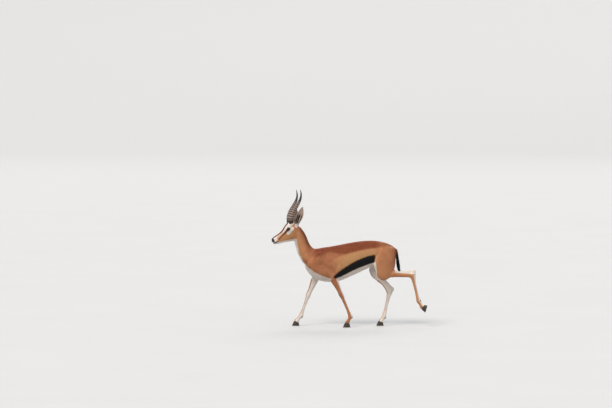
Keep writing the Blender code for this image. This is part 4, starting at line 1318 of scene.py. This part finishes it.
def hide_material(name, on_tufts):
    """Skin or coat: fawn from light to dark, then dark, white and black hair over it."""
    t = Tree(name)
    root = t.attribute("root", "Vector")  # the place on the skin, the same all over a tuft
    wander = t.math("SUBTRACT", t.noise(root, 260, 2), 0.5)  # breaks up the edges of the markings
    mottle = t.math("SUBTRACT", t.noise(root, 42, 3), 0.5)
    colour = t.ramp(t.math("MULTIPLY_ADD", mottle, 0.30, t.attribute("tone")), FAWN_RAMP)
    dark = t.math("MULTIPLY_ADD", wander, 0.25, t.attribute("dark"), clamp=True)
    colour = t.mix(dark, colour, DARK_HAIR)
    for key, hair in (("white", WHITE_HAIR), ("black", BLACK_HAIR)):
        field = t.math("MULTIPLY_ADD", wander, 0.0055, t.attribute(key))
        colour = t.mix(t.step(field, -WHITE_EDGE, WHITE_EDGE), colour, hair)
    bare = t.attribute("bare")
    if on_tufts:
        shade = t.step(t.attribute("shade"), 0.0, 1.0, 0.88, 1.10)
        tip = t.step(t.attribute("tip"), 0.0, 0.9, 0.86, 1.03)
        light = t.math("MULTIPLY", shade, tip)
    else:
        light = t.step(t.noise(root, 420, 2), 0.30, 0.70, 0.80, 0.98)
        lie = t.noise(t.stretch(root, (0.35, 1.0, 1.0)), 1500, 2)
        t.bump(t.math("MULTIPLY_ADD", t.noise(root, 900, 1), bare, lie), 0.0004, 0.6)
    lit = t.nodes.new("ShaderNodeHueSaturation")
    t.put(lit.inputs["Color"], colour)
    t.put(lit.inputs["Value"], light)
    return t.finish(lit.outputs["Color"], t.step(bare, 0.0, 1.0, 0.74, 0.36),
                    Sheen_Weight=0.06, Sheen_Roughness=0.5, Specular_IOR_Level=0.28)  # fmt: skip


# ---------------------------------------------------------------- the coat
def store(mesh, name, values):
    """Keeps a number or a vector for each point of the mesh."""
    vector = np.ndim(values) == 2
    attribute = mesh.attributes.new(name, "FLOAT_VECTOR" if vector else "FLOAT", "POINT")
    attribute.data.foreach_set("vector" if vector else "value", np.asarray(values, np.float32).ravel())


CURVE_CELL, CURVE_BITS = 0.006, 9


def along_curve(points):
    """An order of the points in which those that follow each other lie close together."""
    grid = ((points - points.min(axis=0)) / CURVE_CELL).astype(np.int64)
    code = np.zeros(len(points), np.int64)
    for bit in range(CURVE_BITS):
        for axis in range(3):
            code |= ((grid[:, axis] >> bit) & 1) << (3 * bit + axis)
    return np.argsort(code, kind="stable")


def scatter(points, normals, triangles, density):
    """Roots spread evenly over the skin: density is in tufts for each square metre, at each point."""
    corners = points[triangles]
    one, other = corners[:, 1] - corners[:, 0], corners[:, 2] - corners[:, 0]
    area = 0.5 * np.linalg.norm(np.cross(one, other), axis=1)
    order = along_curve(corners.mean(axis=1))
    run = np.cumsum(area[order] * density[triangles[order]].mean(axis=1))
    count = int(run[-1])
    picks = np.searchsorted(run, (np.arange(count) + rng.random(count)) * (run[-1] / count))
    chosen = triangles[order[np.minimum(picks, len(order) - 1)]]
    u, v = rng.random(count), rng.random(count)
    over = u + v > 1
    u[over], v[over] = 1 - u[over], 1 - v[over]
    weights = np.stack([1 - u - v, u, v], axis=1)[:, :, None]
    return (points[chosen] * weights).sum(axis=1), unit((normals[chosen] * weights).sum(axis=1))


ROOT_DEPTH = 0.0004  # how deep a tuft's root sits in the skin


def blade_points(roots, normals, flow, sizes, rings, bend):
    """The points of all blades, ring by ring and then the tips, with the share along it of each."""
    length, width, height = sizes
    side = unit(np.cross(normals, flow))
    rows, tips = [], []
    for number in range(rings):
        share = number / rings
        centre = roots + flow * (length * share)[:, None] + bend * (length * share**2)[:, None]
        centre = centre + normals * (height * min(1.0, 1.5 * share) - ROOT_DEPTH)[:, None]
        half = (width * (0.5 - 0.18 * share))[:, None]
        thick = (width * 0.35 * (1 - 0.4 * share) + 0.0001)[:, None]
        rows += [centre - side * half, centre + side * half, centre + normals * thick]
        tips += [share] * 3
    rows.append(roots + flow * length[:, None] + bend * length[:, None] + normals * height[:, None])
    return np.stack(rows, axis=1), [*tips, 1.0]


def blade_faces(rings):
    """The triangles of one closed blade: over its root, along its three sides, and round its tip."""
    faces = [(0, 2, 1)]
    for a in range(0, 3 * rings - 3, 3):
        b = a + 3
        for i, j in ((0, 1), (1, 2), (2, 0)):
            faces += [(a + i, a + j, b + j), (a + i, b + j, b + i)]
    last, tip = 3 * rings - 3, 3 * rings
    return faces + [(last, last + 1, tip), (last + 1, last + 2, tip), (last + 2, last, tip)]


def tuft_mesh(name, points, faces):
    """One mesh of equal blades: points is blade by point by XYZ, and faces are those of one blade."""
    count, per, _ = points.shape
    corners = (np.array(faces)[None] + per * np.arange(count)[:, None, None]).reshape(-1, 3)
    mesh = bpy.data.meshes.new(name)
    mesh.vertices.add(per * count)
    put_points(mesh, points.reshape(-1, 3))
    mesh.loops.add(corners.size)
    mesh.loops.foreach_set("vertex_index", corners.astype(np.int32).ravel())
    mesh.polygons.add(len(corners))
    mesh.polygons.foreach_set("loop_start", np.arange(0, corners.size, 3, dtype=np.int32))
    mesh.update(calc_edges=True)
    return mesh


ATLAS_COLUMNS, ATLAS_ROWS = 4, 3
PATCH = 0.003  # how large a tuft is on the layout
# The lines that the layout follows where a part's own lines don't run from end to end of it.
HEAD_RUN = (head_point(0.135, 0, -0.042), head_point(-0.090, 0, -0.020))
TRUNK_RUN = (np.array([-0.30, 0, 0.44]), np.array([0.345, 0, 0.51]))


def unwrapped(points):
    """Each point's place on a flat layout of the body: one field for each part, round it and along it."""
    part = part_of(points)
    place = np.zeros((len(points), 2))
    for number, name in enumerate(PART_NAMES):
        here = part == number
        whole = (LINES[PARTS[name][0]][0], LINES[PARTS[name][-1]][1])
        start, end = {"head": HEAD_RUN, "trunk": TRUNK_RUN}.get(name, whole)
        run = unit(end - start)
        aside = unit(np.cross(run, [0.0, 0.0, 1.0] if abs(run[2]) < 0.8 else [1.0, 0.0, 0.0]))
        up = np.cross(aside, run)
        offset = points[here] - start
        along = np.clip(offset @ run / np.linalg.norm(end - start), -0.05, 1.05)
        turn = np.arctan2(offset @ aside, offset @ up) / (2 * math.pi) + 0.5
        column, row = number % ATLAS_COLUMNS, number // ATLAS_COLUMNS
        place[here, 0] = (column + 0.04 + 0.92 * turn) / ATLAS_COLUMNS
        place[here, 1] = (row + 0.06 + 0.88 * (along + 0.05) / 1.1) / ATLAS_ROWS
    return place


def lay_out(mesh, roots, per, tips):
    """The OFBake map: every tuft is a small patch at its root's place on the body's layout."""
    layer = mesh.uv_layers.new(name="OFBake")
    corners = np.empty(len(mesh.loops), np.int32)
    mesh.loops.foreach_get("vertex_index", corners)
    place = np.repeat(unwrapped(roots), per, axis=0)
    across = np.tile([-0.5, 0.5, 0.0] * (per // 3) + [0.0], len(roots))
    place[:, 0] += across * PATCH
    place[:, 1] += (tips - 0.5) * PATCH
    layer.data.foreach_set("uv", place[corners].astype(np.float32).ravel())


def grow(name, roots, normals, flow, sizes, material, rings=1, bend=(0, 0, 0)):
    """One piece of the coat, with the skin's markings taken at each tuft's root.

    Every blade has so many rings, and bend times its length carries its tip aside.
    """
    count = len(roots)
    wild = rng.normal(0, 0.14, count)[:, None]
    flow = unit(flow + np.cross(normals, flow) * wild)
    sizes = np.asarray(sizes) * rng.uniform(0.75, 1.2, (3, count))
    points, tips = blade_points(roots, normals, flow, sizes, rings, np.array(bend))
    mesh, per, tips = tuft_mesh(name, points, blade_faces(rings)), len(tips), np.tile(tips, count)
    for key, number in all_marks(roots, normals).items():
        store(mesh, key, np.repeat(number, per))
    store(mesh, "root", np.repeat(roots, per, axis=0))
    store(mesh, "shade", np.repeat(rng.random(count), per))
    store(mesh, "tip", tips)
    store(mesh, "bare", np.zeros(len(tips)))
    lay_out(mesh, roots, per, tips)
    mesh.shade_smooth()
    own = point_arrays(mesh)[1]
    soft = unit(0.40 * own + 0.8 * np.repeat(normals, per, axis=0))  # lit mostly as the skin is
    mesh.normals_split_custom_set_from_vertices(soft.tolist())
    mesh.materials.append(material)
    return new_object(name, mesh)


BODY = "root"
FLESH = [name for name in frame["nodes"] if not name.startswith(("hoof_", "eye_", "horn_"))]
COVER = {"head": 2.1, "ear": 1.5, "neck": 2.3, "trunk": 2.2, "foreleg": 1.7, "hindleg": 1.7, "tail": 16.0}
COAT_PIECES = {
    "coat_face": ["head"], "coat_ears": ["ear_left", "ear_right"], "coat_neck": ["neck"],
    "coat_trunk": ["trunk"], "coat_foreleg_left": ["foreleg_left"], "coat_foreleg_right": ["foreleg_right"],
    "coat_hindleg_left": ["hindleg_left"], "coat_hindleg_right": ["hindleg_right"], "coat_tail": ["tail"],
}  # fmt: skip
TRUNK_MIDDLE = 0.03  # x at which the trunk's coat is divided


def skin_triangles(mesh):
    mesh.calc_loop_triangles()
    corners = np.empty(len(mesh.loop_triangles) * 3, np.int32)
    mesh.loop_triangles.foreach_get("vertices", corners)
    return corners.reshape(-1, 3)


def mark_skin(skin):
    """Keeps the markings, the place on the body and the bareness at every point of the skin."""
    points, normals = point_arrays(skin.data)
    for key, values in all_marks(points, normals).items():
        store(skin.data, key, values)
    store(skin.data, "root", points)
    store(skin.data, "bare", bareness(points))


def coat_halves(name, roots, here):
    """The pieces that one part's coat is divided into, so that none grows too large."""
    if name == "coat_face":
        left = in_head(roots)[:, 1] > 0
        return {"coat_face_left": here & left, "coat_face_right": here & ~left}
    if name == "coat_trunk":
        left, front = roots[:, 1] < 0, roots[:, 0] < TRUNK_MIDDLE
        return {
            "coat_chest_left": here & left & front,
            "coat_chest_right": here & ~left & front,
            "coat_haunch_left": here & left & ~front,
            "coat_haunch_right": here & ~left & ~front,
        }
    return {name: here}


def make_coat(skin, material):
    """The short coat, in pieces by part of the body."""
    points, normals = point_arrays(skin.data)
    length, width, _ = coat_scale(points)
    cover = np.array([COVER[name.split("_")[0]] for name in PART_NAMES])[part_of(points)]
    cover = cover * 1.0 * (1 - rise(bareness(points), 0.1, 0.4))
    roots, ups = scatter(points, normals, skin_triangles(skin.data), cover / (0.5 * length * width))
    part = part_of(roots)
    pieces = []
    for name, parts in COAT_PIECES.items():
        here = np.isin(part, [PART_NAMES.index(p) for p in parts])
        for half, chosen in coat_halves(name, roots, here).items():
            at, up = roots[chosen], ups[chosen]
            piece = grow(half, at, up, hair_flow(at, up), coat_scale(at), material)
            pieces.append(piece)
    return pieces


LASHES_PER_AREA, LASH_WIDTH = 1.9e6, 0.00036
LASH_LEAN, LASH_SPREAD = np.array([-0.25, 0.0, 0.0]), np.array([0.5, 1.0, 1.1])


def make_lashes(skin, material):
    """Upper and lower lashes, standing out from the edge of the lids."""
    points, normals = point_arrays(skin.data)
    rim = eye_opening(in_head(points))[0]
    band = hump(rim - 0.0012, 0.0006) * (rim < 0.04)
    upper = rise(in_head(points)[:, 2], 0.002, 0.005)
    density = LASHES_PER_AREA * band * (0.25 + 0.75 * upper)
    roots, ups = scatter(points, normals, skin_triangles(skin.data), density)
    h = in_head(roots)
    lean = unit(folded(h) - np.array(EYE_AT)) * LASH_SPREAD + LASH_LEAN
    flow = unit(unfolded(lean, h) @ HEAD_AXES.T)
    length = mix(0.0030, 0.0065, rise(h[:, 2], 0.002, 0.005))
    sizes = np.stack([length, np.full(len(h), LASH_WIDTH), np.zeros(len(h))])
    lashes = grow("lashes", roots, ups, flow, sizes, material, rings=3, bend=(0.0, 0.0, 0.0022))
    return lashes


# ---------------------------------------------------------------- eyes
PUPIL_LONG, PUPIL_HIGH = 0.0072, 0.0034  # its half sizes: a level slot
IRIS_RADIUS = 0.0142
CORNEA_RADIUS, CORNEA_HEIGHT, CORNEA_SUNK = 0.0122, 0.0011, 0.0002


def eye_material():
    t = Tree("eye_wet")
    gaze = t.attribute("gaze", "Vector")
    parts = t.nodes.new("ShaderNodeSeparateXYZ")
    t.put(parts.inputs[0], gaze)
    long, high = parts.outputs["X"], parts.outputs["Y"]
    radius = t.math("SQRT", t.math("ADD", t.math("MULTIPLY", long, long), t.math("MULTIPLY", high, high)))
    across = t.math("POWER", t.math("DIVIDE", long, PUPIL_LONG), 2.0)
    slot = t.math("SQRT", t.math("ADD", across, t.math("POWER", t.math("DIVIDE", high, PUPIL_HIGH), 2.0)))
    fibres = t.noise(t.stretch(gaze, (1.0, 1.0, 0.2)), 1400, 3)
    iris = t.mix(fibres, srgb(18, 11, 7), srgb(40, 25, 15))
    iris = t.mix(t.step(radius, 0.0095, 0.0130), iris, srgb(14, 9, 6))
    colour = t.mix(t.step(slot, 0.90, 1.08), srgb(6, 6, 8), iris)
    white = t.mix(t.step(t.noise(gaze, 500, 3), 0.45, 0.70), srgb(70, 52, 44), srgb(110, 84, 74))
    colour = t.mix(t.step(radius, IRIS_RADIUS, IRIS_RADIUS + 0.001), colour, white)
    return t.finish(colour, 0.20, Coat_Weight=0.60, Coat_Roughness=0.02, Specular_IOR_Level=0.1)


def make_eye(which, side, material):
    """An eyeball with its cornea standing out, and its gaze kept for the iris and pupil."""
    bm = bmesh.new()
    bmesh.ops.create_uvsphere(bm, u_segments=64, v_segments=40, radius=EYE_RADIUS)
    look = mirrored(EYE_GAZE, side).normalized()
    level = Vector((0, 0, 1)).cross(look).normalized()
    turn = Matrix((level, look.cross(level), look)).transposed()
    gaze = []
    for vert in bm.verts:
        if vert.co.z > 0:
            dome = max(0.0, 1 - (vert.co.xy.length / CORNEA_RADIUS) ** 2) ** 0.7
            vert.co.z += CORNEA_HEIGHT * dome - CORNEA_SUNK
        gaze.append(vert.co.copy())
        vert.co = TO_BODY @ (mirrored(EYE_AT, side) + turn @ vert.co)
    mesh = mesh_of(bm, f"eyeball_{which}")
    mesh.shade_smooth()
    store(mesh, "gaze", np.array(gaze))
    mesh.materials.append(material)
    eye = new_object(f"eyeball_{which}", mesh)
    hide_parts(f"eye_{which}")
    return eye


# ---------------------------------------------------------------- horns
HORN_AROUND, HORN_STEPS = 40, 260
HORN_START = 0.02  # share of its length at which the sheath begins, inside the skin
HORN_LEAST = 0.0006  # its least radius, at the tip
HORN_SUNK = 0.0004  # how much thinner than its table the horn is between the rings
HORN_GRAIN = 0.28  # how long the horn is in the space of its grain


def horn_material():
    t = Tree("horn_sheath")
    place, ridge, share = t.attribute("grain", "Vector"), t.attribute("ridge"), t.attribute("share")
    streaks = t.noise(t.stretch(place, (1.0, 1.0, 0.08)), 900, 4)
    # The ring crests are painted pale grey and streaked with the grain, over horn that stays dark between
    # them: a painted highlight.
    light = t.mix(streaks, srgb(90, 75, 66), srgb(164, 140, 126))
    colour = t.mix(t.step(ridge, 0.20, 0.80), srgb(26, 20, 18), light)
    colour = t.mix(t.step(share, 0.66, 0.80), colour, t.mix(streaks, srgb(20, 19, 20), srgb(44, 42, 42)))
    colour = t.mix(t.step(t.noise(place, 90, 4), 0.56, 0.74), colour, srgb(92, 70, 52))
    t.bump(streaks, 0.0005, 0.7)
    return t.finish(colour, t.step(share, 0.6, 0.8, 0.52, 0.34), Specular_IOR_Level=0.45)


def ring_profile(share):
    """Height of the horn's rings at a share of its length: steep towards the tip, gentle below."""
    if not HORN_BARE < share < HORN_RINGED:
        return 0.0
    run = ((share - HORN_BARE) / (HORN_RINGED - HORN_BARE)) ** (1 / 0.92) * HORN_RINGS
    turn = run % 1.0
    height = math.sin(math.pi * turn ** 0.75) ** 1.5
    return height * min(1.0, (HORN_RINGS - run) / 2.5) * min(1.0, run / 0.8)


def horn_rows(side):
    """Even shares of the horn's length, with the centre and both radii at each, in the head's frame."""
    fine = spline_rows([(x, side * y, z, deep, wide) for x, y, z, deep, wide in HORN], HORN_FINE)
    centres = [Vector(row[:3]) for row in fine]
    run = np.concatenate([[0.0], np.cumsum([(b - a).length for a, b in zip(centres, centres[1:])])])
    shares = np.linspace(HORN_START, 1.0, HORN_STEPS)
    return shares, np.stack([np.interp(shares, run / run[-1], column) for column in zip(*fine)], axis=1)


def horn_ring(share, row, along, side):
    """A ring round the horn: the points, how high the ridge is at each, and its place in the grain."""
    wide = np.array([0.0, 1.0, 0.0]) - along * along[1]
    wide /= np.linalg.norm(wide)
    deep = np.cross(wide, along)
    points, ridges, grain = [], [], []
    for angle in round_turn(HORN_AROUND):
        wave = 0.0035 * math.sin(angle + 0.6) + 0.0018 * math.sin(2 * angle + side)
        ridge = ring_profile(share + wave)
        fade = 0.75 + 0.25 * math.cos(angle)  # the rings are highest in front
        flute = 0.00035 * math.sin(9 * angle + 2.0 * math.sin(7 * share)) * (1 - share)
        out = RING_HEIGHT * ridge * fade - HORN_SUNK + flute
        half_deep, half_wide = max(row[3] + out, HORN_LEAST), max(row[4] + out, HORN_LEAST)
        point = row[:3] + deep * (half_deep * math.cos(angle)) + wide * (half_wide * math.sin(angle))
        points.append(HEAD_AT + HEAD_AXES @ point)
        ridges.append(ridge)
        grain.append((0.012 * math.cos(angle), 0.012 * math.sin(angle), share * HORN_GRAIN))
    return points, ridges, grain


def make_horn(which, side, material):
    """A horn with its rings. Side 1 is the left, as in the head's frame."""
    shares, rows = horn_rows(side)
    rings, ridges, grain = [], [], []
    for number, (share, row) in enumerate(zip(shares, rows)):
        ahead = rows[min(number + 1, HORN_STEPS - 1), :3] - rows[max(number - 1, 0), :3]
        ring, ring_ridges, ring_grain = horn_ring(share, row, ahead / np.linalg.norm(ahead), side)
        rings.append(ring)
        ridges += ring_ridges
        grain += ring_grain
    horn = loft(f"horn_sheath_{which}", rings)
    horn.data.shade_smooth()
    store(horn.data, "ridge", ridges)
    store(horn.data, "grain", np.array(grain))
    store(horn.data, "share", np.repeat(shares, HORN_AROUND))
    horn.data.materials.append(material)
    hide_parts(f"horn_{which}")
    return horn


# ---------------------------------------------------------------- hooves
def hoof_material():
    t = Tree("hoof_wall")
    place, share = t.place(), t.attribute("share")
    wander = t.math("MULTIPLY", t.noise(place, 160, 2), 6.0)
    rings = t.math("SINE", t.math("MULTIPLY_ADD", share, 58.0, wander))
    streaks = t.noise(t.stretch(place, (1.0, 1.0, 0.15)), 1100, 3)
    colour = t.mix(streaks, srgb(26, 23, 22), srgb(58, 50, 45))
    colour = t.mix(t.step(rings, 0.2, 1.0, 0.0, 0.35), colour, srgb(88, 76, 66))
    colour = t.mix(t.step(share, 0.0, 0.10, 0.55, 0.0), colour, srgb(122, 104, 84))
    t.bump(t.math("MULTIPLY_ADD", rings, 0.5, streaks), 0.0003, 0.7)
    return t.finish(colour, t.step(streaks, 0.3, 0.7, 0.34, 0.50), Specular_IOR_Level=0.4)


def claw_ring(share, side):
    """The outline of one claw at a height: share 0 is the sole and 1 the coronet."""
    length = HOOF_LENGTH * (1 - HOOF_TAPER * share)
    heel = HOOF_HEEL + 0.004 * share
    ring = []
    for angle in round_turn(CLAW_POINTS):
        along = 0.5 - 0.5 * math.cos(angle)
        bulge = math.sin(math.pi * along ** 1.3) ** 0.6 if 0 < along < 1 else 0.0
        outer = math.sin(angle) > 0
        across = 0.5 + (0.5 if outer else -0.42) * bulge - 0.28 * along * outer
        ring.append(Vector((heel + length * along, side * (CLEFT / 2 + CLAW_WIDTH * across), 0)))
    return ring


# Heights on a claw as shares, and how much of its outline is left there: rounded at sole and coronet.
CLAW_LEVELS = [
    (0.0, 0.94), (0.006, 0.975), (0.03, 1.0),
    *((0.03 + 0.85 * i / 12, 1.0) for i in range(1, 13)),
    (0.93, 0.985), (0.97, 0.95), (0.99, 0.90), (1.0, 0.80),
]  # fmt: skip


def claw_level(share, keep, side):
    """One ring of a claw: its outline drawn in round its middle, and set at its height."""
    ring = claw_ring(share, side)
    middle = sum(ring, Vector()) / len(ring)
    swell = 1 + 0.010 * math.sin(share * 46) * (share > 0.05)
    height = -HOOF_HEIGHT * (1 - share) - CORONET_GAP * share
    low, span = min(p.x for p in ring), HOOF_LENGTH * (1 - HOOF_TAPER * share)
    drops = [HEEL_DROP * share * (1 - (p.x - low) / span) for p in ring]
    return [(middle + (p - middle) * keep * swell) + Vector((0, 0, height - drop))
            for p, drop in zip(ring, drops)]  # fmt: skip


def make_claw(limb, which, j, side, pitch, material):
    """One claw of a limb's hoof, in the hoof's own frame until it is placed: there its left is side 1."""
    place = Matrix.Translation(j["coronet"]) @ FACING @ Matrix.Rotation(math.radians(pitch), 4, "Y")
    rings = [[place @ p for p in claw_level(share, keep, side)] for share, keep in CLAW_LEVELS]
    claw = loft(f"claw_{limb}_{which}", rings)
    store(claw.data, "share", np.repeat([share for share, _ in CLAW_LEVELS], CLAW_POINTS))
    claw.data.shade_smooth()
    claw.data.set_sharp_from_angle(angle=math.radians(50))
    claw.data.materials.append(material)
    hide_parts(f"hoof_{limb}_{which}_claw")
    return claw


def make_hooves(material):
    pieces = []
    for which, side in SIDES.items():
        for kind, legs in LEGS.items():
            pitch = HOOF_PITCH_LIFTED if kind == "hind" and which == "left" else 0.0
            for name in SIDES:
                limb = f"{kind}_{which}"
                pieces.append(make_claw(limb, name, legs[side], -SIDES[name], pitch, material))
    return pieces


# ---------------------------------------------------------------- stage, light and camera
FLOOR_FLAT, FLOOR_CURVE, FLOOR_AROUND = (3.0, 9.0, 20.0, 27.0), 8.0, 96


def floor_mesh():
    """A wide round floor that curves up far away on all sides."""
    curve, far = FLOOR_CURVE, FLOOR_FLAT[-1]
    profile = [(r, 0.0) for r in FLOOR_FLAT]
    profile += [(far + curve * math.sin(a), curve - curve * math.cos(a)) for a in np.linspace(0.1, 1.5, 12)]
    bm = bmesh.new()
    rings = [[bm.verts.new((r * math.cos(a), r * math.sin(a), z)) for a in round_turn(FLOOR_AROUND)]
             for r, z in profile]  # fmt: skip
    centre = bm.verts.new((0, 0, 0))
    for i in range(FLOOR_AROUND):
        k = (i + 1) % FLOOR_AROUND
        bm.faces.new((centre, rings[0][i], rings[0][k]))
        for lower, upper in zip(rings, rings[1:]):
            bm.faces.new((lower[i], upper[i], upper[k], lower[k]))
    return mesh_of(bm, "floor")


def make_stage():
    """A pale floor that has no edge in any view."""
    t = Tree("floor_paint")
    near = t.mix(t.noise(t.place(), 1.3, 3), (0.470, 0.466, 0.458, 1), (0.500, 0.495, 0.488, 1))
    away = t.nodes.new("ShaderNodeVectorMath")
    away.operation = "LENGTH"
    t.put(away.inputs[0], t.place())
    colour = t.mix(t.step(away.outputs["Value"], 6.0, 30.0), near, (0.495, 0.49, 0.485, 1))
    floor = new_object("floor", floor_mesh())
    floor.data.shade_smooth()
    floor.data.materials.append(t.finish(colour, 0.85, Specular_IOR_Level=0.2))


SKY_COLOUR, SKY_STRENGTH = (0.95, 0.97, 1.0, 1.0), 0.95
# name, the way from which it shines, strength, width in degrees, colour
LAMPS = [
    ("key", (-2.4, -3.2, 4.2), 2.3, 26, (1.0, 0.965, 0.92)),
    ("fill", (3.6, -3.0, 2.4), 0.4, 40, (0.94, 0.97, 1.0)),
    ("back", (1.2, 3.8, 3.4), 0.9, 30, (1.0, 1.0, 1.0)),
]


def add_light(name, place, strength, softness, colour):
    """A wide lamp so far away that it lights the floor evenly: softness is its width in degrees."""
    light = bpy.data.lights.new(name, "SUN")
    light.energy, light.angle, light.color = strength, math.radians(softness), colour
    lamp = new_object(name, light)
    lamp.location = place
    lamp.rotation_euler = (-Vector(place)).to_track_quat("-Z", "Y").to_euler()


def light_scene():
    """A pale sky all round, a warm key from the photo's left, a weak fill and a light from behind."""
    world = bpy.data.worlds.new("studio")
    world.use_nodes = True
    sky = world.node_tree.nodes["Background"]
    sky.inputs["Color"].default_value = SKY_COLOUR
    sky.inputs["Strength"].default_value = SKY_STRENGTH
    bpy.context.scene.world = world
    for lamp in LAMPS:
        add_light(*lamp)
    bpy.context.scene.view_settings.view_transform = "Standard"


CAMERA_LENS, CAMERA_SENSOR = 200.0, 36.0  # in mm
CAMERA_FAR, CAMERA_DOWN = 23.8, 3.43  # metres from its target, and degrees that it looks down
CAMERA_REACH = 200.0
CAMERA_TARGET = Vector((-0.280, 0.0, 0.861))  # the middle of the picture, in the animal's frame


def aim_camera():
    """A long lens, level across, that looks down a little and frames the animal as the photo does."""
    camera = bpy.data.cameras.new("camera")
    camera.lens, camera.sensor_width, camera.clip_end = CAMERA_LENS, CAMERA_SENSOR, CAMERA_REACH
    eye = new_object("camera", camera)
    dip = math.radians(CAMERA_DOWN)
    look = Vector((0, math.cos(dip), -math.sin(dip)))
    eye.location = CAMERA_TARGET + SHIFT - look * CAMERA_FAR
    eye.rotation_euler = look.to_track_quat("-Z", "Y").to_euler()
    bpy.context.scene.camera = eye


def main():
    skin = make_skin()
    skin.name = skin.data.name = "hide"
    mark_skin(skin)
    skin.data.materials.clear()
    skin.data.materials.append(hide_material("hide", False))
    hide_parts(*FLESH)
    hair = hide_material("coat_hair", True)
    pieces = [skin, *make_coat(skin, hair), make_lashes(skin, hair)]
    keratin, wet, hoof = horn_material(), eye_material(), hoof_material()
    for which, side in SIDES.items():
        pieces += [make_eye(which, -side, wet), make_horn(which, -side, keratin)]
    pieces += make_hooves(hoof)
    for piece in pieces:
        piece.data.transform(Matrix.Translation(SHIFT))
        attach(piece, BODY)
    make_stage()
    light_scene()
    aim_camera()


main()
